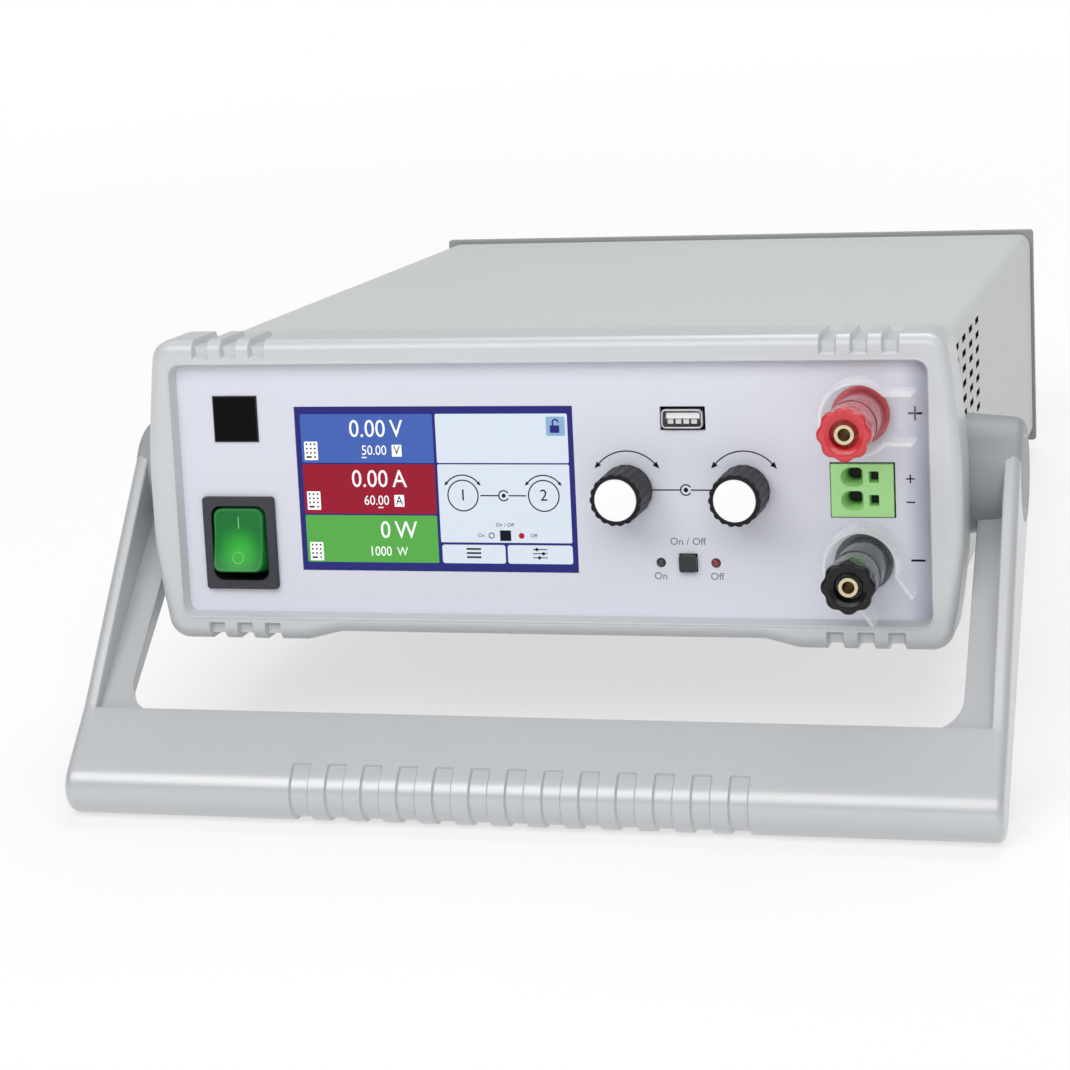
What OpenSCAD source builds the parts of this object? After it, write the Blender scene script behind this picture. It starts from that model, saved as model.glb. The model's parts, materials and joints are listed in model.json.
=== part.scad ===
// Laboratory power supply standing on its carrying handle, front raised.
// X to the right, Y to the back, Z up. Every module is drawn level, with the front bezel at y = 0
// and the feet at z = 0, and stance() then tilts it onto the handle.

/* [Case] */
// Width of the sheet metal case
case_w = 262; // [258:1:280]
// Height of the sheet metal case
case_h = 89; // [88.6:0.1:96]
// Length of the cover
cover_d = 345; // [340:1:400]
// Height of the case above the table when it stands on its feet
case_lift = 7.5; // [6:0.5:9]
// Radius of the long edges of the cover
case_r = 5; // [3.5:0.5:8]
// Thickness of the sheet metal
sheet = 1.2; // [0.8:0.1:2]
// Width of the cover's lips under the tray
cover_lip = 10; // [8:1:14]
// Height of the tray's side walls
tray_wall = 14; // [8:1:18]

/* [Vents] */
// Length of one vent slot
vent_l = 11; // [6:1:14]
// Height of one vent slot
vent_h = 2.3; // [1.5:0.1:3]
// Distance between slots along the case
vent_step_y = 22; // [18:1:26]
// Distance between rows of slots
vent_step_z = 5.2; // [4.5:0.1:6]
// Slots in one row
vent_cols = 4; // [2:1:6]
// Rows of slots
vent_rows = 10; // [3:1:11]
// First column of slots, behind the pivot of the handle
vent_back = 11; // [9:1:20]
// Top row of slots, below the top of the case
vent_drop = 6; // [6:0.5:10]

/* [Bezel] */
// Depth of the bezel
bezel_d = 24; // [20:0.5:24]
// Thickness of the bezel's front wall, which the panel lies behind
front_wall = 4; // [3:0.5:5]
// Radius of the bezel's corners
bezel_r = 7.5; // [6:0.5:10]
// How far the bezel stands above the case
bezel_top = 6.4; // [5:0.1:8]
// How far the bezel stands out beside the case at its top and bottom
bezel_side = 3.3; // [2.5:0.1:4]
// How far the bezel stands out beside the case at mid height
bezel_belly = 6.7; // [5:0.1:7.4]
// Lower end of the widest stretch of the bezel
belly_low = 35; // [20:1:45]
// Upper end of the widest stretch of the bezel
belly_high = 58; // [48:1:70]
// Radius of the bezel's front edge
edge_r = 4.2; // [2:0.2:5]
// How far the case overlaps the opening at each side
lip_side = 4.5; // [3:0.5:6]
// How far the case overlaps the opening at the bottom
lip_low = 1.9; // [1.5:0.1:3]
// How far the case overlaps the opening at the top
lip_top = 3; // [2:0.1:4]
// How much wider the opening is at the front, on each side
lip_slope = 1.75; // [0.5:0.05:2.5]
// Width of one grip groove
groove_w = 5; // [3:0.5:7]
// Distance between grip grooves
groove_step = 10; // [8:0.5:12]
// Depth of the grip grooves
groove_deep = 1.7; // [1:0.1:2.5]
// How far the grip grooves run down the front face
groove_drop = 4.2; // [2:0.1:5]
// Outermost grip groove, from the side of the bezel
groove_in = 18.3; // [14:0.1:24]
// Height of the hollow between the bezel's two feet
relief_h = 2.9; // [1:0.1:4]
// Width of the flat part of that hollow
relief_w = 145; // [100:1:150]

/* [Front panel] */
// Thickness of the front panel
panel_t = 2; // [1.5:0.1:2.5]
// Gap around what passes through the panel
panel_gap = 0.2; // [0.1:0.05:0.4]
// Edge of the square badge plate
badge_w = 15.7; // [10:0.1:18]
// Badge plate, from the left end of the opening
badge_in = 20.5; // [16:0.1:24]
// Badge plate, above the bottom of the opening
badge_up = 66.3; // [60:0.1:70]
// Height of the display
display_h = 55.6; // [40:0.1:56]
// Left edge of the display, from the left end of the opening
display_in = 41.5; // [40:0.1:50]
// Right edge of the display, from the middle of the left knob
display_gap = 17.8; // [17:0.1:30]
// Bottom edge of the display, above the bottom of the opening
display_up = 14.6; // [10:0.1:20]
// Width of the sense connector
sense_w = 20.3; // [18:0.1:22]
// Height of the sense connector
sense_h = 17.4; // [16:0.1:19]
// Sense connector, from the right end of the opening
sense_in = 21; // [18:0.1:24]
// Sense connector, above the bottom of the opening
sense_up = 42.5; // [42:0.1:44]
// Distance between the two poles of the sense connector
sense_pitch = 7.6; // [7.2:0.1:8]
// Radius of a wire entry of the sense connector
entry_r = 2.6; // [2:0.1:2.8]
// Edge of a release slot of the sense connector
release_w = 3.3; // [2.5:0.1:3.6]
// USB socket, from the right end of the opening
usb_in = 78.85; // [76:0.1:82]
// USB socket, above the bottom of the opening
usb_up = 66.15; // [64:0.1:70]
// Edge of the output button
button_w = 5.8; // [5:0.1:7]
// Output button and lamps, above the bottom of the opening
button_up = 18.3; // [14:0.1:22]
// Distance of each lamp from the output button
lamp_out = 9.15; // [8:0.05:12]
// Radius of a lamp
lamp_r = 1.5; // [1:0.1:2]
// How far the output button can be pressed
button_travel = 1; // [0.5:0.1:1.2]

/* [Power switch] */
// Width of the switch frame
switch_w = 25.6; // [24:0.1:28]
// Height of the switch frame
switch_h = 31.8; // [30.6:0.1:34]
// Switch, from the left end of the opening
switch_in = 19.8; // [18:0.1:24]
// Switch, above the bottom of the opening
switch_up = 23.8; // [20:0.1:28]
// Width of the rocker
rocker_w = 17.2; // [14:0.1:18]
// Half the height of the rocker
rocker_half = 10.6; // [8:0.1:10.6]
// Turn of the rocker between off and on
rocker_turn = 20; // [12:1:20]

/* [Knobs] */
// Radius of a knob
knob_r = 8.7; // [7:0.1:10]
// Length of a knob
knob_l = 16.8; // [12:0.1:20]
// Flutes around a knob
knob_flutes = 18; // [8:1:24]
// Radius of a knob's cap
cap_r = 7.1; // [5:0.1:7.2]
// Distance between the two knobs
knob_step = 38.8; // [34:0.1:44]
// Left knob, from the right end of the opening
knob_in = 98; // [92:0.1:98]
// Knobs, above the bottom of the opening
knob_up = 42.6; // [40:0.1:46]
// Radius of the knob shafts
shaft_r = 3; // [2:0.1:3.2]
// How far a knob can be pressed
knob_travel = 0.8; // [0.3:0.1:0.9]

/* [Output terminals] */
// Terminals, from the right end of the opening
terminal_in = 20.5; // [20:0.1:24]
// Plus terminal, above the bottom of the opening
terminal_up = 67.6; // [66:0.1:69]
// Distance between the plus and the minus terminal
terminal_step = 47.8; // [46.5:0.1:50]
// Radius of the screw collar
collar_r = 8.6; // [7.5:0.1:9]
// Length of the screw collar
collar_l = 15.2; // [10:0.1:18]
// Lobes around the screw collar
collar_lobes = 8; // [6:1:12]
// Length of the lobed ring in front
lobe_l = 5; // [3:0.5:8]
// Step from the lobed ring down to the barrel
barrel_step = 0.7; // [0.4:0.1:1.2]
// Radius of the hole in the front of the collar
collar_hole_r = 4.4; // [4:0.1:5]
// Radius of the insulating sleeve behind the collar
sleeve_r = 8; // [7:0.1:8.4]
// How far the sleeve stands in front of the panel
sleeve_l = 22; // [16:0.5:26]
// Radius of the brass post
post_r = 3.05; // [2.8:0.05:3.4]
// Radius of the socket in the post
socket_r = 2; // [1.5:0.05:2.2]
// Depth of the socket in the post
socket_l = 20; // [12:0.5:24]
// Radius of the round part of the clear cover
cover_r = 12.4; // [11.6:0.1:12.8]
// Wall of the clear cover
cover_t = 1.2; // [0.8:0.1:1.6]
// Depth of the clear cover
cover_l = 12; // [8:0.5:14]
// Width of the clear cover's tail
tail_w = 17; // [14:0.1:18]
// Length of the clear cover's tail from the terminal's axis
tail_l = 17.5; // [14:0.1:17.5]
// Direction in which the minus cover's tail hangs
minus_turn = 55; // [0:1:60]
// Working gap between turning and fixed pieces
play = 0.3; // [0.2:0.05:0.4]
// Radial clearance of shafts and bores that run in each other
run_fit = 0.05; // [0.02:0.01:0.08]

/* [Handle] */
// Pivot of the handle, behind the front of the bezel
pivot_y = 44.5; // [44.5:0.1:52]
// Pivot of the handle, above the feet
pivot_z = 50; // [48:0.5:54]
// Distance from the pivot to the middle of the rounded grip
arm_l = 123.5; // [115:0.5:140]
// Angle at which the handle points down, from the horizontal
arm_angle = 46.2; // [30:0.1:60]
// Radius of the rounded grip
grip_r = 9.5; // [7:0.1:11]
// Width of the crossbar, from its inner edge to the middle of the grip
bar_w = 23.9; // [16:0.1:28]
// Thickness of the crossbar at its inner edge
bar_t = 6.5; // [4:0.1:9]
// Gap between the bezel's widest stretch and the arms
arm_gap = 1.6; // [1:0.1:3]
// Width of an arm
arm_w = 14.7; // [12:0.1:18]
// Width of the raised rim along the outside of an arm
rim_w = 4; // [2.5:0.1:6]
// Half the depth of the rim at the pivot
rim_half = 11.6; // [9.5:0.1:13]
// Radius of the hub on its inner side
hub_r = 20; // [18:0.1:20]
// Radius of the hub on its outer side
hub_out_r = 18.5; // [16:0.1:20]
// Radius of the pivot bolt
bolt_r = 6; // [4:0.1:7]
// Radius of the corners inside the handle
inner_r = 12; // [6:0.5:16]
// Radius of the corners outside the handle
outer_r = 4; // [2:0.5:8]
// Grooves in the grip
grip_grooves = 13; // [5:2:21]
// Distance between the grooves in the grip
grip_step = 12; // [8:0.5:14]
// Width of a groove in the grip
grip_groove_w = 6; // [3:0.5:7]
// Depth of a groove in the grip
grip_deep = 1; // [0.5:0.1:1.5]

/* [Rear] */
// How far the rear frame stands out beside the case
frame_out = 1.3; // [0.5:0.1:3]
// How far the rear frame stands above and below the case
frame_up = 1.9; // [0.5:0.1:3]
// Thickness of the rear frame
frame_t = 3; // [2:0.5:5]
// Shadow gap between the cover and the rear frame
frame_gap = 1; // [0.5:0.1:2]
// How far the rear panel lies inside the end of the cover
rear_in = 2.3; // [1:0.1:5]
// Radius of a rear foot
foot_r = 8; // [6:0.5:10]
// Rear edge of the rear feet, from the front of the bezel
foot_y = 345; // [320:1:345]
// Middle of a rear foot, from the side of the case
foot_in = 27; // [22:1:60]
// Edge of the fan
fan_w = 80; // [60:1:80]
// Thickness of the fan
fan_t = 25; // [20:1:30]
// Middle of the fan, from the side of the case
fan_in = 73; // [61:1:81]
// Fan blades
fan_blades = 7; // [5:1:11]
// Middle of the mains inlet, from the side of the case
inlet_in = 43; // [36:1:51]
// Middle of the mains inlet, above the feet
inlet_z = 38; // [30:1:60]

/* [Inside] */
// Height of the main board above the tray
board_up = 6; // [4:0.5:8]
// Thickness of the circuit boards
board_t = 1.6; // [1:0.1:2]
// Gap between the sides of the case and the main board
board_in = 16; // [8:1:16]
// Gap between the front panel and the main board
board_behind = 54; // [40:1:60]
// Height of the heatsinks
sink_h = 52; // [30:1:60]
// Width of the fins on a heatsink
sink_w = 36; // [20:1:36]
// Thickness of a fin
fin_t = 1.6; // [1:0.1:2]
// Fins on each heatsink
sink_fins = 7; // [4:1:9]
// Distance between the two heatsinks
sink_step = 54; // [50:1:54]
// First heatsink, from the capacitors
sink_off = 36; // [33:1:36]
// Radius of a capacitor
can_r = 14; // [8:1:14]
// Height of the capacitors
can_h = 45; // [25:1:55]
// Distance between the capacitors
can_step = 36; // [30:1:40]
// Row of capacitors, from the left edge of the main board
can_in = 95; // [90:1:95]
// Edge length of the transformer core
core_w = 62; // [40:1:66]
// Middle of the transformer, from the left edge of the main board
core_in = 67; // [60:1:70]
// Radius of the choke's ring
choke_r = 16; // [12:1:18]
// Radius of the choke's winding
choke_t = 9; // [6:1:9]
// Middle of the choke, from the left edge of the main board
choke_in = 55; // [46:1:55]
// Width of the mains filter
filter_w = 40; // [30:1:44]
// Length of the mains filter
filter_l = 45; // [30:1:60]
// Height of the mains filter
filter_h = 30; // [20:1:40]
// Distance of inner parts from the edges of the main board
board_edge = 6; // [5:1:10]

/* [Hidden] */
$fn = 64;
eps = 0.01;

case_x = case_w / 2;
case_top = case_lift + case_h;
bezel_h = case_top + bezel_top;
panel_y = front_wall;
panel_back = front_wall + panel_t;
cover_end = panel_back + cover_d;
floor_z = case_lift + 2 * sheet;
open_w = case_w - 2 * lip_side;
open_low = case_lift + lip_low;
open_high = case_top - lip_top;
left_end = -open_w / 2;
right_end = open_w / 2;
side_gap = 0.3;

board_y = panel_back + 8;
badge_t = 0.4;
glass_in = 0.3;
badge_x = left_end + badge_in;
badge_z = open_low + badge_up;
display_w = open_w - display_in - display_gap - knob_in;
display_x = left_end + display_in + display_w / 2;
display_z = open_low + display_up + display_h / 2;
sense_x = right_end - sense_in;
sense_z = open_low + sense_up;
usb_x = right_end - usb_in;
usb_z = open_low + usb_up;
knob_x = right_end - knob_in;
knob_z = open_low + knob_up;
button_x = knob_x + knob_step / 2;
button_z = open_low + button_up;
terminal_x = right_end - terminal_in;
plus_z = open_low + terminal_up;
minus_z = plus_z - terminal_step;

switch_x = left_end + switch_in;
switch_z = open_low + switch_up;
switch_rim = 2;
switch_depth = 22;
pocket_half = rocker_half * cos(rocker_turn / 2) + 1.95;
rocker_y = panel_y + 5;
rocker_front = 9.25;
rocker_dip = 1.65;
trunnion_r = 1.5;

usb_w = 12.5;
usb_h = 5.1;
usb_t = 0.6;
usb_out = 1.4;

knob_gap = knob_travel + 0.6;
flute_r = 1;
flute_end = 1.2;
knob_back = panel_y - knob_gap;
knob_face = knob_back - knob_l;
cap_t = 1.6;
plunger_r = 4;
plunger_y = panel_back + 3.2;
plunger_t = 2.5;
encoder_w = 13;
encoder_y = panel_back + 1;
bush_r = 3.6 + shaft_r - 3;
bush_l = 3;

sleeve_front = panel_y - sleeve_l;
washer_t = 2.2;
washer_front = sleeve_front - play - washer_t;
collar_back = washer_front - play;
collar_face = collar_back - collar_l;
post_front = collar_face + 1;
post_back = board_y - 1;
stem_r = 6;
nut_r = 9;
nut_t = 4;
guard_rim = 1.4;
guard_y = panel_y - play - cover_t - play;

arm_in = case_x + bezel_belly + arm_gap;
arm_out = arm_in + arm_w;
disc_t = 3;
hub_in = case_x + disc_t + 0.6;
cap_seat = 2.5;
head_t = 3.5;
head_r = bolt_r + 3.5;
bore_end = arm_out - cap_seat - head_t - 2 * play - 0.5;
bar_in = arm_l - bar_w;
bar_face = 9;

foot_mid = foot_y - foot_r;
foot_x = case_x - foot_in;
rear_y = cover_end - rear_in;
frame_y = cover_end + frame_gap;
fan_x = case_x - fan_in;
fan_z = (floor_z + case_top - sheet) / 2;
fan_hole_r = fan_w / 2 - 1.7;
fan_bolt = fan_w / 2 - 4.25;
fan_screw_r = fan_w * 0.01875;
fan_screw_l = 10;
blade_t = 1.6;
stator_r = 11;
motor_y = 5;
guard_wire = 0.8;
guard_step = fan_w / 10;
guard_ear = 4;
guard_ear_t = 1.6;
screw_head = 1.8;
case_screw_r = 2.8;
case_screw_t = 1.6;
case_screw_in = 40;
inlet_x = case_x - inlet_in;
inlet_w = 28;
inlet_h = 20.5;
inlet_d = 24;
inlet_flange = 3;
inlet_screw = 20;
flange_half = 25;
well_d = 17;

board_z = floor_z + board_up;
deck_z = board_z + board_t;
board_front = panel_back + board_behind;
board_end = rear_y - sheet - fan_t - 12;
board_half = case_x - board_in;
filter_y = board_front + 100;
core_y = board_end - core_w / 2 - 20;
choke_y = board_front + 60;
can_y = board_front + 22;

nose_y = pivot_y - arm_l * cos(arm_angle);
nose_z = pivot_z - arm_l * sin(arm_angle);
reach = foot_y - nose_y;
tilt = atan(-nose_z / reach) + asin(grip_r / sqrt(reach * reach + nose_z * nose_z));
front_most = nose_y * cos(tilt) + nose_z * sin(tilt) - grip_r;
rear_most = (frame_y + frame_t) * cos(tilt) + (case_top + frame_up) * sin(tilt);

// Tilts the level power supply onto its handle and rear feet, with its middle over the origin.
module stance() {
    translate([0, -(front_most + rear_most) / 2, foot_y * sin(tilt)])
        rotate([-tilt, 0, 0]) children();
}

// Extrudes an outline drawn in X and Z from y0 to y1.
module slab(y0, y1) {
    translate([0, y1, 0]) rotate([90, 0, 0]) linear_extrude(y1 - y0) children();
}

// Extrudes an outline drawn in Y and Z from x0 to x1.
module along_x(x0, x1) {
    translate([x0, 0, 0]) rotate([90, 0, 90]) linear_extrude(x1 - x0) children();
}

// Round bar along Y.
module rod(x, z, y0, y1, r, r_back = 0) {
    translate([x, y0, z]) rotate([-90, 0, 0])
        cylinder(h = y1 - y0, r1 = r, r2 = r_back > 0 ? r_back : r);
}

// Round bar along X.
module axle(x0, x1, y, z, r, r_end = 0) {
    translate([x0, y, z]) rotate([0, 90, 0])
        cylinder(h = x1 - x0, r1 = r, r2 = r_end > 0 ? r_end : r);
}

// Rectangle with round corners, from its lower left to its upper right corner.
module round_box(x0, z0, x1, z1, r) {
    translate([x0 + r, z0]) square([x1 - x0 - 2 * r, z1 - z0]);
    translate([x0, z0 + r]) square([x1 - x0, z1 - z0 - 2 * r]);
    for (x = [x0 + r, x1 - r], z = [z0 + r, z1 - r]) translate([x, z]) circle(r);
}

// Rectangle around a middle.
module plate(x, z, w, h) {
    translate([x - w / 2, z - h / 2]) square([w, h]);
}

// The same plate with rounded corners.
module round_plate(x, z, w, h, r) {
    round_box(x - w / 2, z - h / 2, x + w / 2, z + h / 2, r);
}

// Block given by its two corners.
module block(a, b) {
    translate(a) cube(b - a);
}

// Places children on the left and on the right.
module both_sides() {
    children();
    mirror([1, 0, 0]) children();
}

// Outline of the case, grown outwards by a distance.
module case_outline(grow) {
    round_box(-case_x - grow, case_lift - grow, case_x + grow, case_top + grow, case_r + grow);
}

// Outline of the bezel, drawn inwards by a distance.
module bezel_outline(inset) {
    crest = case_x + bezel_side - bezel_r;
    belly = case_x + bezel_belly - bezel_r;
    hull() for (side = [-1, 1], p = [[crest, bezel_r], [belly, belly_low], [belly, belly_high],
            [crest, bezel_h - bezel_r]])
        translate([side * p[0], p[1]]) circle(bezel_r - inset, $fn = 32);
}

// Bezel body: slices that shrink along a quarter circle towards the front.
module bezel_body() {
    hull() for (a = [0, 22.5, 45, 67.5, 90]) {
        y = edge_r * (1 - sin(a));
        slab(y, a == 0 ? bezel_d : y + eps) bezel_outline(edge_r * (1 - cos(a)));
    }
}

module bezel_opening() {
    hull() {
        slab(-eps, 0) round_box(left_end - lip_slope, open_low - lip_slope, right_end + lip_slope,
            open_high + lip_slope, 4.5);
        slab(front_wall, front_wall + eps) round_box(left_end, open_low, right_end, open_high, 3);
    }
}

// One grip groove over the top edge and down the front face.
module bezel_groove() {
    block([-groove_w / 2, -1, -groove_deep], [groove_w / 2, bezel_d + 1, groove_deep]);
    block([-groove_w / 2, -1, -groove_deep - groove_drop], [groove_w / 2, groove_deep, groove_deep]);
}

module front_bezel() {
    outer_x = case_x + bezel_side - groove_in;
    color([0.765, 0.776, 0.788]) difference() {
        bezel_body();
        bezel_opening();
        slab(front_wall, bezel_d + 1) case_outline(side_gap);
        slab(-1, bezel_d + 1) polygon([[-relief_w / 2 - 4 * relief_h, 0], [-relief_w / 2, relief_h],
            [relief_w / 2, relief_h], [relief_w / 2 + 4 * relief_h, 0], [0, -2]]);
        both_sides() for (i = [0:2]) {
            translate([outer_x - i * groove_step, 0, bezel_h]) bezel_groove();
            translate([outer_x - i * groove_step, 0, 0]) mirror([0, 0, 1]) bezel_groove();
        }
    }
}

module front_panel() {
    color([0.84, 0.85, 0.89]) difference() {
        slab(panel_y, panel_back) case_outline(0);
        slab(panel_y - 1, panel_back + 1) {
            plate(display_x, display_z, display_w + 2 * panel_gap, display_h + 2 * panel_gap);
            plate(switch_x, switch_z, switch_w - 3.6 + 2 * panel_gap, switch_h - 3.6 + 2 * panel_gap);
            plate(sense_x + panel_gap, sense_z + panel_gap,
                sense_w + 4 * panel_gap, sense_h + 4 * panel_gap);
            plate(usb_x, usb_z, usb_w + 2 * usb_t + 1.3, usb_h + 2 * usb_t + 1.6);
            plate(button_x, button_z, button_w + 2 * panel_gap, button_w + 2 * panel_gap);
        }
        for (x = [knob_x, knob_x + knob_step])
            rod(x, knob_z, panel_y - 1, panel_back + 1, bush_r + panel_gap / 2);
        for (z = [plus_z, minus_z])
            rod(terminal_x, z, panel_y - 1, panel_back + 1, stem_r + panel_gap / 2);
        for (x = [-lamp_out, lamp_out])
            rod(button_x + x, button_z, panel_y - 1, panel_back + 1, lamp_r + panel_gap / 2);
    }
}

module badge_plate() {
    color([0.05, 0.05, 0.06])
        slab(panel_y - badge_t, panel_y) plate(badge_x, badge_z, badge_w, badge_w);
}

module display_glass() {
    color([0.2, 0.2, 0.5])
        slab(panel_y + glass_in, panel_back) plate(display_x, display_z, display_w, display_h);
}

module display_module() {
    color([0.6, 0.6, 0.62])
        slab(panel_back, board_y) plate(display_x, display_z, display_w + 4, display_h + 3);
}

// Board behind the front panel, cut out round the power switch.
module control_board() {
    color([0.1, 0.4, 0.2]) slab(board_y, board_y + board_t) difference() {
        plate(0, (open_low + open_high) / 2, open_w, open_high - open_low - 2);
        translate([left_end - 1, open_low])
            square([switch_in + switch_w / 2 + 3, switch_up + switch_h / 2 + 3]);
    }
}

module panel_spacers() {
    color([0.8, 0.8, 0.8])
        for (x = [left_end + 8, knob_x + knob_step / 2], z = [open_high - 5, open_low + 5])
            if (x > 0 || z > open_low + switch_up + switch_h)
                rod(x, z, panel_back, board_y, 2.5, $fn = 6);
}

// Housing of the power switch with a pocket for the rocker and two bearing holes.
module switch_body() {
    color([0.26, 0.26, 0.28]) difference() {
        union() {
            slab(panel_y - switch_rim, panel_y) round_plate(switch_x, switch_z, switch_w, switch_h, 1);
            slab(panel_y, panel_y + switch_depth) plate(switch_x, switch_z, switch_w - 3.6, switch_h - 3.6);
        }
        slab(panel_y - switch_rim - 1, rocker_y + 5)
            round_plate(switch_x, switch_z, rocker_w + 2 * play, 2 * pocket_half, 2);
        translate([switch_x, 0, 0])
            axle(-rocker_w / 2 - 1.6, rocker_w / 2 + 1.6, rocker_y, switch_z, trunnion_r + run_fit);
    }
}

// Rocker with a dished face, drawn in the middle position and turned to on.
module rocker() {
    color([0.1, 0.5, 0.2]) translate([switch_x, rocker_y, switch_z]) rotate([-rocker_turn / 2, 0, 0]) {
        intersection() {
            along_x(-rocker_w / 2, rocker_w / 2) polygon(concat(
                [for (i = [4:-1:-4]) [-rocker_front + rocker_dip * (1 - i * i / 16), i / 4 * rocker_half]],
                [[0, -rocker_half], [2.5, -rocker_half * 0.6], [2.5, rocker_half * 0.6], [0, rocker_half]]));
            slab(-rocker_front - 1, 4) round_plate(0, 0, rocker_w, 2 * rocker_half, 2.5);
        }
        axle(-rocker_w / 2 - 1.4, rocker_w / 2 + 1.4, 0, 0, trunnion_r);
    }
}

module usb_shell() {
    color([0.8, 0.8, 0.8]) difference() {
        slab(panel_y - usb_out, board_y) plate(usb_x, usb_z, usb_w + 2 * usb_t, usb_h + 2 * usb_t);
        slab(panel_y - usb_out - 1, board_y - 2) plate(usb_x, usb_z, usb_w, usb_h);
    }
}

module usb_tongue() {
    color([0.95, 0.95, 0.95])
        slab(panel_y + 0.6, board_y - 2) plate(usb_x, usb_z + 0.8, 11.1, 1.9);
}

// Push button with a collar behind the panel that keeps it in.
module output_button() {
    color([0.25, 0.25, 0.27]) {
        slab(panel_y - 2.2, panel_back + 3) plate(button_x, button_z, button_w, button_w);
        slab(panel_back + 0.4, panel_back + 1.4) plate(button_x, button_z, button_w + 1.8, button_w + 1.8);
    }
}

module button_switch() {
    color([0.1, 0.1, 0.1]) {
        slab(panel_back + 5, board_y) plate(button_x, button_z, 12, 12);
        slab(panel_back + 3 + button_travel + play, panel_back + 5) plate(button_x, button_z, 3.4, 3.4);
    }
}

// Indicator lamp: a stem with a rounded tip.
module lamp(x) {
    rod(x, button_z, panel_y, board_y, lamp_r);
    translate([x, panel_y, button_z]) sphere(lamp_r, $fn = 32);
}

module lamp_on() {
    color([0.16, 0.2, 0.2]) lamp(button_x - lamp_out);
}

module lamp_off() {
    color([0.8, 0.1, 0.1]) lamp(button_x + lamp_out);
}

// Push encoder: a hollow body on the board and a threaded bush through the panel.
module encoder(x) {
    difference() {
        union() {
            slab(encoder_y, board_y) plate(x, knob_z, encoder_w, encoder_w);
            rod(x, knob_z, panel_y - bush_l, encoder_y, bush_r);
        }
        rod(x, knob_z, panel_y - bush_l - 1, plunger_y - 1, shaft_r + run_fit);
        rod(x, knob_z, plunger_y - play, plunger_y + plunger_t + knob_travel + play, plunger_r + play);
        rod(x, knob_z, plunger_y - 1.5, plunger_y, shaft_r + run_fit);
    }
}

module plunger(x) {
    rod(x, knob_z, plunger_y, plunger_y + plunger_t, plunger_r);
}

module knob_shaft(x) {
    rod(x, knob_z, knob_face + 4, plunger_y - play, shaft_r);
}

// Fluted knob with a recess for its cap and a bore for the shaft.
module knob(x) {
    difference() {
        rod(x, knob_z, knob_face, knob_back, knob_r);
        for (i = [0:knob_flutes - 1]) {
            a = i * 360 / knob_flutes;
            translate([(knob_r + flute_r / 2) * cos(a), 0, (knob_r + flute_r / 2) * sin(a)])
                rod(x, knob_z, knob_face - 1, knob_back - flute_end, flute_r, $fn = 16);
        }
        rod(x, knob_z, knob_face - 1, knob_face + cap_t - 0.2, cap_r);
        rod(x, knob_z, knob_face + 4, knob_back + 1, shaft_r);
        rod(x, knob_z, panel_y - bush_l - knob_travel - 0.5, knob_back + 1, bush_r + 0.5);
    }
}

module knob_cap(x) {
    rod(x, knob_z, knob_face - 0.2, knob_face + cap_t - 0.2, cap_r - 0.05);
}

module left_encoder() { color([0.7, 0.7, 0.7]) encoder(knob_x); }
module left_plunger() { color([0.9, 0.9, 0.85]) plunger(knob_x); }
module left_shaft() { color([0.8, 0.8, 0.8]) knob_shaft(knob_x); }
module left_knob() { color([0.23, 0.24, 0.24]) knob(knob_x); }
module left_cap() { color([0.97, 0.97, 0.97]) knob_cap(knob_x); }
module right_encoder() { color([0.7, 0.7, 0.7]) encoder(knob_x + knob_step); }
module right_plunger() { color([0.9, 0.9, 0.85]) plunger(knob_x + knob_step); }
module right_shaft() { color([0.8, 0.8, 0.8]) knob_shaft(knob_x + knob_step); }
module right_knob() { color([0.23, 0.24, 0.24]) knob(knob_x + knob_step); }
module right_cap() { color([0.97, 0.97, 0.97]) knob_cap(knob_x + knob_step); }

// Insulating sleeve through the panel, with a rim that keeps the clear cover in place.
module sleeve(z) {
    difference() {
        union() {
            rod(terminal_x, z, sleeve_front, panel_y, sleeve_r);
            rod(terminal_x, z, guard_y - 1.6, guard_y, sleeve_r + guard_rim);
            rod(terminal_x, z, panel_y, panel_back + nut_t, stem_r);
        }
        rod(terminal_x, z, sleeve_front - 1, panel_back + nut_t + 1, post_r);
        rod(terminal_x, z, sleeve_front - 1, guard_y - 4, sleeve_r - 2);
    }
}

// Brass post with the plug socket in its front end.
module post(z) {
    difference() {
        rod(terminal_x, z, post_front, post_back, post_r);
        rod(terminal_x, z, post_front - 1, post_front + socket_l, socket_r);
    }
}

// Pressure washer that moves with the collar and doesn't turn.
module washer(z) {
    difference() {
        rod(terminal_x, z, washer_front, washer_front + washer_t, sleeve_r - 0.4);
        rod(terminal_x, z, washer_front - 1, washer_front + washer_t + 1, post_r + run_fit);
    }
}

// Screw collar: a lobed ring in front of a round barrel that is threaded on the post at its back.
module collar(z) {
    ring_back = collar_face + lobe_l;
    difference() {
        union() {
            rod(terminal_x, z, collar_face, ring_back, collar_r);
            rod(terminal_x, z, ring_back - eps, collar_back, collar_r - barrel_step);
        }
        for (i = [0:collar_lobes - 1]) {
            a = (i + 0.5) * 360 / collar_lobes;
            translate([(collar_r + 1.1) * cos(a), 0, (collar_r + 1.1) * sin(a)])
                rod(terminal_x, z, collar_face - 1, ring_back, 1.9, $fn = 24);
        }
        rod(terminal_x, z, collar_face - 1, collar_back + 1, post_r + run_fit);
        rod(terminal_x, z, collar_face - 1, collar_back - 5, collar_hole_r);
    }
}

// Keyhole outline of the clear cover, drawn inwards by a distance, with a tail to the right.
module keyhole(inset, tail) {
    circle(cover_r - inset);
    translate([0, -tail_w / 2 + inset]) square([tail, tail_w - 2 * inset]);
}

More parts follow.
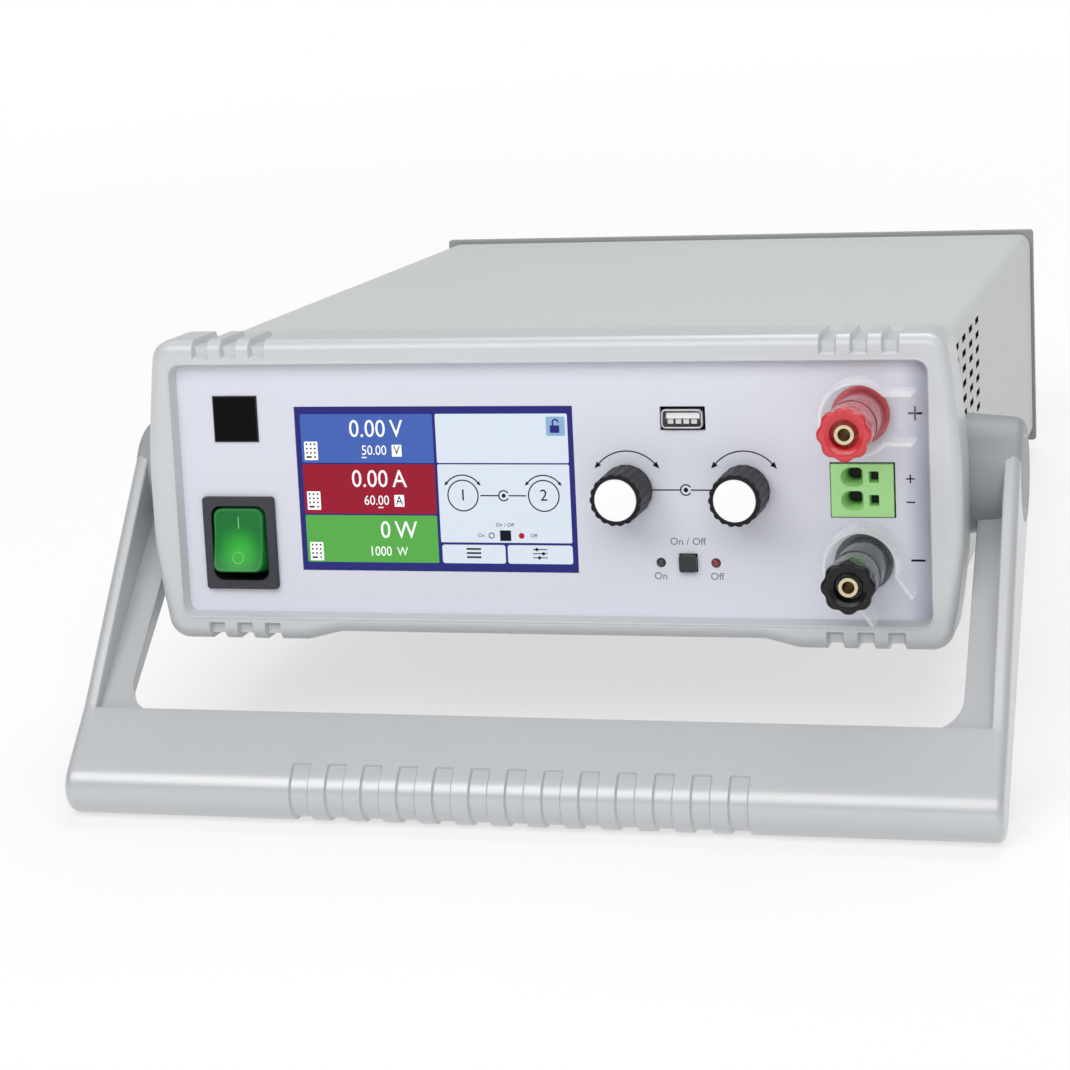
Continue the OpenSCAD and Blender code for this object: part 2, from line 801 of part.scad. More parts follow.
// Clear cover: a plate round the sleeve with a wall that is open at the end of its tail.
module clear_cover(z, turn) {
    translate([terminal_x, 0, z]) rotate([0, turn, 0]) difference() {
        slab(panel_y - play - cover_l, panel_y - play) keyhole(0, tail_l);
        slab(panel_y - play - cover_l - 1, panel_y - play - cover_t) keyhole(cover_t, tail_l + 1);
        rod(0, 0, panel_y - cover_l, panel_y + 1, sleeve_r + run_fit);
    }
}

module plus_sleeve() { color([0.86, 0.3, 0.35]) sleeve(plus_z); }
module plus_post() { color([0.78, 0.7, 0.55]) post(plus_z); }
module plus_washer() { color([0.8, 0.8, 0.8]) washer(plus_z); }
module plus_collar() { color([0.84, 0.2, 0.24]) collar(plus_z); }
module plus_cover() { color([0.9, 0.93, 0.95, 0.4]) clear_cover(plus_z, 0); }
module minus_sleeve() { color([0.2, 0.22, 0.25]) sleeve(minus_z); }
module minus_post() { color([0.78, 0.7, 0.55]) post(minus_z); }
module minus_washer() { color([0.8, 0.8, 0.8]) washer(minus_z); }
module minus_collar() { color([0.14, 0.15, 0.18]) collar(minus_z); }
module minus_cover() { color([0.9, 0.93, 0.95, 0.4]) clear_cover(minus_z, minus_turn); }

module terminal_nuts() {
    color([0.8, 0.8, 0.8]) for (z = [plus_z, minus_z]) difference() {
        rod(terminal_x, z, panel_back, panel_back + nut_t, nut_r, $fn = 6);
        rod(terminal_x, z, panel_back - 1, panel_back + nut_t + 1, stem_r + 0.05);
    }
}

// Two-pole spring connector with round wire entries and square release slots.
module sense_connector() {
    color([0.59, 0.8, 0.51]) difference() {
        slab(panel_y, board_y) plate(sense_x, sense_z, sense_w, sense_h);
        for (z = [-sense_pitch / 2, sense_pitch / 2]) {
            rod(sense_x - 3.1, sense_z + 0.4 + z, panel_y - 1, panel_y + 7, entry_r);
            slab(panel_y - 1, panel_y + 5) plate(sense_x + 3.6, sense_z + 0.4 + z, release_w, release_w);
        }
    }
}

// Cover: top and both sides in one sheet, with lips under the tray and rows of vent slots.
module top_cover() {
    color([0.78, 0.8, 0.78]) difference() {
        slab(panel_back, cover_end) difference() {
            case_outline(0);
            case_outline(-sheet);
            plate(0, case_lift, case_w - 2 * cover_lip, 4 * sheet);
        }
        for (i = [0:vent_cols - 1], j = [0:vent_rows - 1]) {
            y = pivot_y + vent_back + i * vent_step_y;
            z = case_top - vent_drop - j * vent_step_z;
            if (norm([y - pivot_y, z - pivot_z]) > hub_r + vent_l / 2 + 1)
                block([-case_x - 1, y - vent_l / 2, z - vent_h / 2],
                    [case_x + 1, y + vent_l / 2, z + vent_h / 2]);
        }
        axle(-case_x - 1, case_x + 1, pivot_y, pivot_z, bolt_r + 0.1);
    }
}

// Tray: floor and low side walls inside the cover.
module bottom_tray() {
    inner_x = case_x - sheet;
    color([0.75, 0.77, 0.76]) slab(panel_back, rear_y - sheet) difference() {
        intersection() {
            case_outline(-sheet);
            plate(0, case_lift, case_w, 2 * (tray_wall + sheet));
        }
        translate([-inner_x + sheet, floor_z]) square([2 * (inner_x - sheet), case_h]);
    }
}

module rear_panel() {
    color([0.75, 0.77, 0.76]) difference() {
        slab(rear_y - sheet, rear_y) {
            difference() {
                case_outline(-sheet);
                plate(-inlet_x, inlet_z, inlet_w + 2 * panel_gap, inlet_h + 2 * panel_gap);
            }
        }
        rod(fan_x, fan_z, rear_y - sheet - 1, rear_y + 1, fan_hole_r);
        for (a = [-fan_bolt, fan_bolt], b = [-fan_bolt, fan_bolt])
            rod(fan_x + a, fan_z + b, rear_y - sheet - 1, rear_y + 1, 1.7);
    }
}

// Rear frame: a rim that ends the case, with a spigot inside the cover.
module rear_frame() {
    color([0.62, 0.64, 0.63]) {
        difference() {
            union() {
                slab(rear_y, frame_y) case_outline(-sheet);
                slab(frame_y, frame_y + frame_t) round_box(-case_x - frame_out, case_lift - frame_up,
                    case_x + frame_out, case_top + frame_up, 1.5);
            }
            slab(rear_y - 1, frame_y + frame_t + 1) case_outline(-sheet - 2);
        }
    }
}

// Rubber foot under the tray, with a recess for its screw.
module rear_feet() {
    color([0.12, 0.12, 0.12]) both_sides() difference() {
        translate([foot_x, foot_mid, 0]) cylinder(h = case_lift + sheet, r1 = foot_r, r2 = foot_r + 1);
        translate([foot_x, foot_mid, -1]) cylinder(h = 4, r = 3);
    }
}

module pivot_discs() {
    color([0.6, 0.62, 0.63]) both_sides() difference() {
        axle(case_x, case_x + disc_t, pivot_y, pivot_z, hub_r);
        axle(case_x - 1, case_x + disc_t + 1, pivot_y, pivot_z, bolt_r + 0.1);
    }
}

// Pivot bolt: a smooth shank with a flat head outside and a nut inside the case.
module pivot_bolts() {
    color([0.7, 0.7, 0.72]) both_sides() {
        axle(case_x - sheet - 8, bore_end + play, pivot_y, pivot_z, bolt_r);
        axle(bore_end + play, bore_end + play + head_t, pivot_y, pivot_z, head_r);
        axle(case_x - sheet - 5, case_x - sheet, pivot_y, pivot_z, bolt_r + 4, $fn = 6);
    }
}

// Places children at the pivot, with Y along the arm to the grip and -Z on the face seen from the front.
module at_pivot() {
    translate([0, pivot_y, pivot_z]) rotate([180 + arm_angle, 0, 0]) children();
}

// Section of the crossbar: a wedge that runs from its inner edge tangent onto the grip.
module bar_section() {
    back = bar_t - bar_face;
    gap = sqrt(bar_w * bar_w + back * back);
    turn = atan(back / bar_w) + acos(grip_r / gap);
    translate([arm_l, 0]) circle(grip_r);
    polygon([[bar_in, -bar_face], [arm_l, -grip_r], [arm_l, 0],
        [arm_l - grip_r * cos(turn), grip_r * sin(turn)], [bar_in, back]]);
}

// One arm: hub, outer rim and a web whose face sinks towards the hub.
module arm() {
    hub_step = arm_out - rim_w;
    axle(hub_in, arm_out, 0, 0, hub_r, hub_out_r);
    along_x(hub_step, arm_out) polygon([[0, -rim_half], [arm_l, -grip_r], [arm_l, grip_r], [0, rim_half]]);
    along_x(arm_in, hub_step + eps) polygon([[14, -1.5], [bar_in + 1, -bar_face + 1.5],
        [bar_in + 1, bar_t - bar_face], [14, 7]]);
}

// Rounded corner between an arm and the crossbar.
module arm_corner() {
    translate([arm_in - inner_r, bar_in - inner_r, -bar_face + 1.6])
        linear_extrude(bar_t - 1.7) difference() {
            square([inner_r + eps, inner_r + eps]);
            circle(inner_r);
        }
}

module handle() {
    color([0.714, 0.725, 0.737]) at_pivot() difference() {
        intersection() {
            union() {
                along_x(-arm_out, arm_out) bar_section();
                both_sides() {
                    arm();
                    arm_corner();
                }
            }
            translate([0, 0, -2 * hub_r]) linear_extrude(4 * hub_r)
                round_box(-arm_out, -2 * hub_r, arm_out, arm_l + grip_r, outer_r);
        }
        for (i = [0:grip_grooves - 1]) {
            x = (i - (grip_grooves - 1) / 2) * grip_step;
            difference() {
                axle(x - grip_groove_w / 2, x + grip_groove_w / 2, arm_l, 0, grip_r + 1);
                axle(x - grip_groove_w, x + grip_groove_w, arm_l, 0, grip_r - grip_deep);
            }
        }
        both_sides() {
            axle(hub_in - 1, bore_end + 1, 0, 0, bolt_r + run_fit);
            axle(bore_end, arm_out - cap_seat + eps, 0, 0, head_r + 0.5);
            axle(arm_out - cap_seat, arm_out + 1, 0, 0, head_r + 3);
        }
    }
}

module hub_caps() {
    color([0.6, 0.62, 0.63]) at_pivot() both_sides()
        axle(arm_out - cap_seat, arm_out, 0, 0, head_r + 2.95);
}

module main_board() {
    color([0.1, 0.35, 0.2])
        block([-board_half, board_front, board_z], [board_half, board_end, deck_z]);
}

module main_spacers() {
    color([0.8, 0.8, 0.8]) for (x = [board_edge - board_half, board_half - board_edge],
            y = [board_front + board_edge, board_end - board_edge])
        translate([x, y, floor_z]) cylinder(h = board_up, r = board_edge / 2, $fn = 6);
}

// Transformer: a laminated core with a winding round its middle leg.
module transformer() {
    color([0.35, 0.33, 0.3]) translate([core_in - board_half, core_y, deck_z]) {
        block([-core_w / 2, -core_w / 3, 0], [core_w / 2, core_w / 3, core_w * 0.8]);
        for (side = [-1, 1]) block([-core_w / 4, side > 0 ? core_w / 3 - 1 : -core_w / 2, core_w * 0.14],
            [core_w / 4, side > 0 ? core_w / 2 : 1 - core_w / 3, core_w * 0.66]);
    }
}

module choke() {
    color([0.75, 0.45, 0.2]) translate([choke_in - board_half, choke_y, deck_z + choke_t])
        rotate_extrude() translate([choke_r, 0]) circle(choke_t);
}

// Two heatsinks with their fins on the right half of the board.
module heatsinks() {
    first_x = can_in + sink_off - board_half - sink_w / 2;
    color([0.72, 0.73, 0.75]) for (x = [first_x, first_x + sink_step]) translate([x, 0, deck_z])
        slab(board_front + 10, board_end - 10) {
            square([2.5 * fin_t, sink_h]);
            for (i = [0:sink_fins - 1]) translate([0, i * (sink_h - fin_t) / (sink_fins - 1)])
                square([sink_w, fin_t]);
        }
}

module capacitors() {
    color([0.15, 0.2, 0.35]) for (i = [0:2])
        translate([can_in - board_half, can_y + i * can_step, deck_z]) cylinder(h = can_h, r = can_r);
}

module filter_block() {
    color([0.15, 0.15, 0.16]) translate([board_edge - board_half, filter_y, deck_z])
        cube([filter_w, filter_l, filter_h]);
}

// Appliance inlet with a shaped well.
module mains_inlet() {
    color([0.1, 0.1, 0.11]) difference() {
        union() {
            slab(rear_y - sheet - inlet_d, rear_y) plate(-inlet_x, inlet_z, inlet_w, inlet_h);
            slab(rear_y, rear_y + inlet_flange)
                round_plate(-inlet_x, inlet_z, 2 * flange_half, inlet_h + 2.5, 3);
        }
        slab(rear_y + inlet_flange - well_d, rear_y + inlet_flange + 1) translate([-inlet_x, inlet_z])
            polygon([[-12.2, -8.2], [12.2, -8.2], [12.2, 3.2], [7.6, 8.2], [-7.6, 8.2], [-12.2, 3.2]]);
        for (x = [-inlet_screw, inlet_screw])
            rod(x - inlet_x, inlet_z, rear_y - 1, rear_y + inlet_flange + 1, 1.7);
    }
}

module inlet_pins() {
    color([0.8, 0.75, 0.6]) for (p = [[-7, -1.8], [0, 2.6], [7, -1.8]])
        slab(rear_y + inlet_flange - well_d, rear_y + inlet_flange - 1.5)
            plate(-inlet_x + p[0], inlet_z + p[1], 2, 4);
}

// Fan housing: a square frame with a round duct, three struts and the motor's stator.
module fan_frame() {
    y1 = rear_y - sheet;
    y0 = y1 - fan_t;
    color([0.12, 0.12, 0.13]) {
        difference() {
            slab(y0, y1) round_plate(fan_x, fan_z, fan_w, fan_w, 4);
            rod(fan_x, fan_z, y0 - 1, y1 + 1, fan_hole_r);
            for (a = [-fan_bolt, fan_bolt], b = [-fan_bolt, fan_bolt])
                rod(fan_x + a, fan_z + b, y1 - fan_screw_l - 2, y1 + 1, fan_screw_r + 0.1);
        }
        difference() {
            union() {
                rod(fan_x, fan_z, y1 - 3, y1, stator_r + 5);
                rod(fan_x, fan_z, y0 + motor_y + 1, y1 - 2, stator_r);
                for (a = [90, 210, 330]) translate([fan_x, 0, fan_z]) rotate([0, a, 0])
                    block([stator_r + 1, y1 - 3, -1.6], [fan_hole_r + 1, y1, 1.6]);
            }
            rod(fan_x, fan_z, y0 + motor_y, y1 - 4, 1.5 + run_fit);
        }
    }
}

// Fan rotor: a cup over the stator with a shaft and pitched blades.
module fan_rotor() {
    y1 = rear_y - sheet;
    y0 = y1 - fan_t;
    color([0.14, 0.14, 0.15]) {
        difference() {
            rod(fan_x, fan_z, y0 + 2, y1 - 4, stator_r + 4);
            rod(fan_x, fan_z, y0 + motor_y, y1 - 3, stator_r + 1.5);
        }
        rod(fan_x, fan_z, y0 + motor_y - 1, y1 - 5, 1.5);
        intersection() {
            rod(fan_x, fan_z, y0 + 3, y1 - 5, fan_hole_r - 1);
            for (i = [0:fan_blades - 1]) translate([fan_x, (y0 + y1) / 2 - 1, fan_z])
                rotate([0, i * 360 / fan_blades, 0]) rotate([42, 0, 0])
                    translate([stator_r + 3, -fan_t / 2, -blade_t / 2]) cube([fan_w, fan_t, blade_t]);
        }
    }
}

// Wire finger guard: rings, two crossed wires and an ear at each screw.
module fan_guard() {
    y = rear_y + guard_wire;
    cross_half = fan_bolt * sqrt(2) - guard_ear + 0.5;
    color([0.8, 0.8, 0.82]) {
        translate([fan_x, y, fan_z]) rotate([90, 0, 0])
            for (r = [guard_step:guard_step:fan_hole_r])
                rotate_extrude() translate([r, 0]) circle(guard_wire, $fn = 16);
        for (a = [45, 135]) translate([fan_x, y + 1.5 * guard_wire, fan_z]) rotate([0, a, 0])
            translate([-cross_half, 0, 0]) rotate([0, 90, 0])
                cylinder(h = 2 * cross_half, r = guard_wire, $fn = 16);
        for (a = [-fan_bolt, fan_bolt], b = [-fan_bolt, fan_bolt]) difference() {
            rod(fan_x + a, fan_z + b, rear_y, rear_y + guard_ear_t, guard_ear);
            rod(fan_x + a, fan_z + b, rear_y - 1, rear_y + 3, fan_screw_r + 0.3);
        }
    }
}

module fan_screws() {
    color([0.7, 0.7, 0.72]) for (a = [-fan_bolt, fan_bolt], b = [-fan_bolt, fan_bolt]) {
        rod(fan_x + a, fan_z + b, rear_y - sheet - fan_screw_l, rear_y + guard_ear_t, fan_screw_r);
        rod(fan_x + a, fan_z + b, rear_y + guard_ear_t, rear_y + guard_ear_t + screw_head, 2 * fan_screw_r);
    }
}

// Screws through the cover's lips into the tray, seen from below.
module case_screws() {
    color([0.7, 0.7, 0.72]) both_sides()
        for (y = [bezel_d + case_screw_in + 6, cover_end / 2, cover_end - case_screw_in])
            translate([case_x - cover_lip / 2 - 1, y, case_lift - case_screw_t])
                cylinder(h = case_screw_t, r = case_screw_r);
}

stance() front_bezel();
stance() front_panel();
stance() badge_plate();
stance() display_glass();
stance() display_module();
stance() control_board();
stance() panel_spacers();
stance() switch_body();
stance() rocker();
stance() usb_shell();
stance() usb_tongue();
stance() output_button();
stance() button_switch();
stance() lamp_on();
stance() lamp_off();
stance() left_encoder();
stance() left_plunger();
stance() left_shaft();
stance() left_knob();
stance() left_cap();
stance() right_encoder();
stance() right_plunger();
stance() right_shaft();
stance() right_knob();
stance() right_cap();
stance() plus_sleeve();
stance() plus_post();
stance() plus_washer();
stance() plus_collar();
stance() plus_cover();
stance() minus_sleeve();
stance() minus_post();
stance() minus_washer();
stance() minus_collar();
stance() minus_cover();
stance() terminal_nuts();
stance() sense_connector();
stance() top_cover();
stance() bottom_tray();
stance() rear_panel();
stance() rear_frame();
stance() rear_feet();
stance() pivot_discs();
stance() pivot_bolts();
stance() handle();
stance() hub_caps();
stance() main_board();
stance() main_spacers();
stance() transformer();
stance() choke();
stance() heatsinks();
stance() capacitors();
stance() filter_block();
stance() mains_inlet();
stance() inlet_pins();
stance() fan_frame();
stance() fan_rotor();
stance() fan_guard();
stance() fan_screws();
stance() case_screws();
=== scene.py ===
# Laboratory power supply propped on its carrying handle: finishes, printed panel, lit screen, moulded parts.
# Shapes are worked out in millimetres in the level frame of the case: X to the right, Y back from the front
# of the bezel, Z up from the feet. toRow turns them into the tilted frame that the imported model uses.
import json
import math

import bmesh
import bpy
import numpy as np
from mathutils import Matrix, Vector
from mathutils.geometry import tessellate_polygon

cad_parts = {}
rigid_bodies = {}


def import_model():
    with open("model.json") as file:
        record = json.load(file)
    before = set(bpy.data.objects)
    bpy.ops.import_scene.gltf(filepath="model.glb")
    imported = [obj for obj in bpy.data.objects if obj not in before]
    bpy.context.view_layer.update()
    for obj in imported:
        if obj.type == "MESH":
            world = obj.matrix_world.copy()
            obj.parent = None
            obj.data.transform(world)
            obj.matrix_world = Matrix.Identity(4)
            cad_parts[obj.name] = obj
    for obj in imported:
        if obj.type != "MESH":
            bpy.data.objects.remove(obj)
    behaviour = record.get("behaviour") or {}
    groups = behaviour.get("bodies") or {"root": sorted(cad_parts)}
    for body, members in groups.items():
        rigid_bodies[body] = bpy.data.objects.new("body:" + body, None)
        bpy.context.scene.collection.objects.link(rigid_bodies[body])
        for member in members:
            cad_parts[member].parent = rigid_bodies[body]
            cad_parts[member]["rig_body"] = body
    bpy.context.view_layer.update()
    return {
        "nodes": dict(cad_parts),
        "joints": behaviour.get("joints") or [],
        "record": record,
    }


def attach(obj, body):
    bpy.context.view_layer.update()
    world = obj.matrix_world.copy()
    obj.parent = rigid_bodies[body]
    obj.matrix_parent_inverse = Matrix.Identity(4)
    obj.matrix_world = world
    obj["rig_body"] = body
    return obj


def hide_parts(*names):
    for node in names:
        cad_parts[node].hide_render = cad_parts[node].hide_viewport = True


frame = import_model()
nodes = frame["nodes"]
joints = {joint["name"]: joint for joint in frame["joints"]}
slotOf = {part["node"]: part["material_slot"] for part in frame["record"]["subparts"]}
bodyOf = {name: nodes[name]["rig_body"] for name in nodes}
print("stage: frame loaded,", len(nodes), "nodes")

# The tilt comes from the axis of the output button, and the place from the pivot of the handle.
stance = {"pivotY": 44.5, "pivotZ": 50.0, "armAngle": 46.2}
tiltCos = joints["output_press"]["axis"][1]
tiltSin = -joints["output_press"]["axis"][2]
pivotRow = [1000 * v for v in joints["handle_swing"]["pos_m"]]
rowY = pivotRow[1] - stance["pivotY"] * tiltCos - stance["pivotZ"] * tiltSin
rowZ = pivotRow[2] + stance["pivotY"] * tiltSin - stance["pivotZ"] * tiltCos


def toRow(points):  # tilts level millimetres about X and shifts them, in metres
    p = np.asarray(points, float)
    y = p[..., 1] * tiltCos + p[..., 2] * tiltSin + rowY
    z = p[..., 2] * tiltCos - p[..., 1] * tiltSin + rowZ
    return np.stack([p[..., 0], y, z], -1) / 1000


def toLevel(points):  # the reverse of toRow
    p = np.asarray(points, float) * 1000
    y, z = p[..., 1] - rowY, p[..., 2] - rowZ
    return np.stack([p[..., 0], y * tiltCos - z * tiltSin, y * tiltSin + z * tiltCos], -1)


def fromArm(x, t, h):  # X, way along the arm from the pivot and height over it, turned into the level frame
    a = math.radians(180 + stance["armAngle"])
    x, t, h = np.broadcast_arrays(np.asarray(x, float), t, h)
    return np.stack([x, stance["pivotY"] + t * math.cos(a) - h * math.sin(a),
                     stance["pivotZ"] + t * math.sin(a) + h * math.cos(a)], -1)


def pointsOf(mesh):  # the places of its vertices as one array
    co = np.empty(len(mesh.vertices) * 3)
    mesh.vertices.foreach_get("co", co)
    return co.reshape(-1, 3)


def levelBox(node):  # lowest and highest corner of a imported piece, in level millimetres
    co = toLevel(pointsOf(nodes[node].data))
    return co.min(0), co.max(0)


# Materials
def tone(red, green, blue):  # a colour of 0 to 255 as it shows on a screen, made linear
    c = np.array([red, green, blue]) / 255
    c = np.where(c <= 0.04045, c / 12.92, ((c + 0.055) / 1.055) ** 2.4)
    return tuple(float(v) for v in c) + (1.0,)


def shade(colour, amount):  # a colour made lighter or darker by a factor
    return tuple(min(1.0, v * amount) for v in colour[:3]) + (1.0,)


class Wire:  # a socket that takes part in sums: each sum adds a Math node
    def __init__(self, tree, socket):
        self.tree, self.socket = tree, socket

    def maths(self, operation, first, second):
        return self.tree.add("ShaderNodeMath", {"operation": operation}, first, second)

    def __add__(self, other): return self.maths("ADD", self, other)
    def __radd__(self, other): return self.maths("ADD", other, self)
    def __sub__(self, other): return self.maths("SUBTRACT", self, other)
    def __rsub__(self, other): return self.maths("SUBTRACT", other, self)
    def __mul__(self, other): return self.maths("MULTIPLY", self, other)
    def __rmul__(self, other): return self.maths("MULTIPLY", other, self)
    def __gt__(self, other): return self.maths("GREATER_THAN", self, other)
    def __lt__(self, other): return self.maths("LESS_THAN", self, other)


class Tree:  # the nodes of a material or world; add() makes any node and sets its sockets by place or name
    def __init__(self, holder, kind):
        holder.use_nodes = True
        self.nodes, self.links = holder.node_tree.nodes, holder.node_tree.links
        self.nodes.clear()
        self.output = self.nodes.new("ShaderNodeOutput" + kind)

    def add(self, kind, settings, *values, socket=0, **named):
        node = self.nodes.new(kind)
        for key, value in settings.items():
            setattr(node, key, value)
        for key, value in [*enumerate(values), *((k.replace("_", " "), v) for k, v in named.items())]:
            if isinstance(value, Wire):
                self.links.new(value.socket, node.inputs[key])
            elif value is not None:
                node.inputs[key].default_value = value
        return Wire(self, node.outputs[socket])

    def show(self, shader):
        self.links.new(shader.socket, self.output.inputs["Surface"])


class Finish(Tree):  # one material; surface() sets the sockets of its main shader by name
    def __init__(self, name):
        self.material = bpy.data.materials.new(name)
        super().__init__(self.material, "Material")
        self.where = self.add("ShaderNodeTexCoord", {}, socket="Object")

    def noise(self, size, detail=2.0):  # size of the grain in millimetres
        return self.add("ShaderNodeTexNoise", {}, Vector=self.where, Scale=1000 / size, Detail=detail)

    def blend(self, share, first, second):  # mixes two colours
        return self.add("ShaderNodeMix", {"data_type": "RGBA"}, share, *[None] * 5, first, second, socket=2)

    def vary(self, share, colour, low, high):  # a colour between two shades of itself
        return self.blend(share, shade(colour, low), shade(colour, high))

    def step(self, value, *ends):  # a smooth step between the first two ends, to the other two or from 0 to 1
        return self.add("ShaderNodeMapRange", {"interpolation_type": "SMOOTHSTEP"}, value, *ends)

    def bump(self, height, depth, under=None):  # depth in millimetres
        return self.add("ShaderNodeBump", {}, Height=height, Distance=depth / 1000, Normal=under)

    def across(self):  # X of the place
        return self.add("ShaderNodeSeparateXYZ", {}, self.where)

    def surface(self, **sockets):
        self.show(self.add("ShaderNodeBsdfPrincipled", {}, **sockets))
        return self


def moulded(name, colour, rough, grain=0.45, depth=0.012, wear=0.04, **more):
    # fine spark-eroded texture, faint flow marks and a slow change of tone
    look = Finish(name)
    slow, fine = look.noise(38, 3), look.noise(grain, 2)
    return look.surface(Base_Color=look.vary(slow * 0.4 + fine * 0.6, colour, 1 - wear, 1 + wear),
                        Roughness=rough - 0.03 + slow * 0.06, Normal=look.bump(fine, depth), **more)


def painted(name, colour, rough, shadeBounds=None):
    # powder coat: soft orange peel over a fine grain. The last argument gives half the width and the lower
    # and upper end
    # of flat sides, in level millimetres: what lies inside them, such as the walls of slots, gets painted
    # shade, near black.
    look = Finish(name)
    slow, skin, fine = look.noise(60, 3), look.noise(1.1, 3), look.noise(0.3, 1)
    base = look.vary(slow * 0.4 + fine * 0.6, colour, 0.97, 1.03)
    if shadeBounds:
        side, low, high = (v / 1000 for v in shadeBounds)
        origin = Vector(toRow((0, 0, 0)))
        up = Vector(toRow((0, 0, 1000))) - origin
        level = look.add("ShaderNodeVectorMath", {"operation": "DOT_PRODUCT"}, look.where, tuple(up),
                         socket="Value")
        far = look.add("ShaderNodeMath", {"operation": "ABSOLUTE"}, look.across())
        slotShade = (far < side) * (level > origin.dot(up) + low) * (level < origin.dot(up) + high)
        # painted shade: faces inside the outer sheet, such as the walls of the vent slots, turn near black
        base = look.blend(slotShade, base, tone(14, 14, 15))
    return look.surface(Base_Color=base, Roughness=rough - 0.05 + skin * 0.1,
                        Normal=look.bump(fine, 0.006, look.bump(skin, 0.02)))


def overlaid(name, colour, edge, rough, reach):
    # printed film on the panel: fine grain, and painted shade that greys it towards its right edge beside the
    # bezel's wall, with reach in millimetres of X
    look = Finish(name)
    slow, fine = look.noise(60, 3), look.noise(0.4, 1)
    base = look.vary(slow * 0.4 + fine * 0.6, colour, 0.97, 1.03)
    # painted shade: the print's tone blends into the grey edge tone close to the bezel's right wall
    share = look.step(look.across(), reach[0] / 1000, reach[1] / 1000)
    return look.surface(Base_Color=look.blend(share, base, edge), Roughness=rough + slow * 0.04,
                        Normal=look.bump(fine, 0.006))


def metal(name, colour, rough, brush=(1, 1, 1)):
    # fine marks drawn out along one axis by the stretch of the coordinates
    look = Finish(name)
    turned = look.add("ShaderNodeMapping", {}, Vector=look.where, Scale=brush)
    marks = look.add("ShaderNodeTexNoise", {}, Vector=turned, Scale=1500.0, Detail=3.0)
    return look.surface(Base_Color=look.vary(look.noise(9, 2), colour, 0.93, 1.05), Metallic=1.0,
                        Roughness=rough - 0.06 + marks * 0.12, Normal=look.bump(marks, 0.004))


def glossy(name, colour, rough, coat=0.6, **more):
    # hard plastic or lacquer: faint waves, a slow change of tone and a clear coat
    look = Finish(name)
    slow, fine = look.noise(14, 3), look.noise(0.8, 2)
    return look.surface(Base_Color=look.vary(slow, colour, 0.96, 1.04), Roughness=rough + fine * 0.05,
                        Coat_Weight=coat, Coat_Roughness=0.04, Normal=look.bump(slow, 0.01), **more)


def clear(name, colour):
    # cast plastic: faint flow waves, and light passes through
    look = Finish(name)
    waves = look.noise(7, 2)
    return look.surface(Base_Color=look.vary(waves, colour, 0.97, 1), Roughness=0.12,
                        Transmission_Weight=0.75, IOR=1.47, Normal=look.bump(waves, 0.02))


def film(name, colour, face=0.07, rim=0.6):
    # thin clear plastic: nearly unseen face on, whiter where it is seen along its surface, partly by a white
    # emission that paints a highlight there
    look = Finish(name)
    lean = look.add("ShaderNodeLayerWeight", {}, Blend=0.35, socket="Facing")
    waves = look.noise(7, 2)
    # painted highlight: white emission where the surface is seen along it
    return look.surface(Base_Color=look.vary(waves, colour, 0.96, 1), Roughness=0.05,
                        Alpha=look.step(lean, 0.25, 1.0, face, rim), Normal=look.bump(waves, 0.02),
                        Emission_Color=look.blend(look.step(lean, 0.5, 1.0), (0, 0, 0, 1), colour),
                        Emission_Strength=0.3)


def glowing(name, colour, bright, place, reach):
    # lit from inside: brightest at one place, in level millimetres, and falling off round it
    look = Finish(name)
    away = look.add("ShaderNodeVectorMath", {"operation": "DISTANCE"}, look.where, tuple(toRow(place)),
                    socket="Value")
    share, slow = look.step(away, 0.0, reach / 1000, 1.0, 0.0), look.noise(6, 2)
    return look.surface(Base_Color=look.vary(slow, colour, 0.85, 1.1), Roughness=0.3, Specular_IOR_Level=0.25,
                        Emission_Color=look.blend(share, shade(colour, 0.25), bright), Emission_Strength=0.8,
                        Normal=look.bump(slow, 0.01))


def lit(name, colour, glow):  # screen colours: a fine pixel raster over a glowing ground
    look = Finish(name)
    raster = look.add("ShaderNodeTexWave", {"wave_type": "BANDS", "bands_direction": "X"},
                      Vector=look.where, Scale=800.0)
    return look.surface(Base_Color=shade(colour, 0.2), Roughness=0.4, Specular_IOR_Level=0.15,
                        Emission_Color=look.vary(raster, colour, 0.97, 1.03), Emission_Strength=glow)


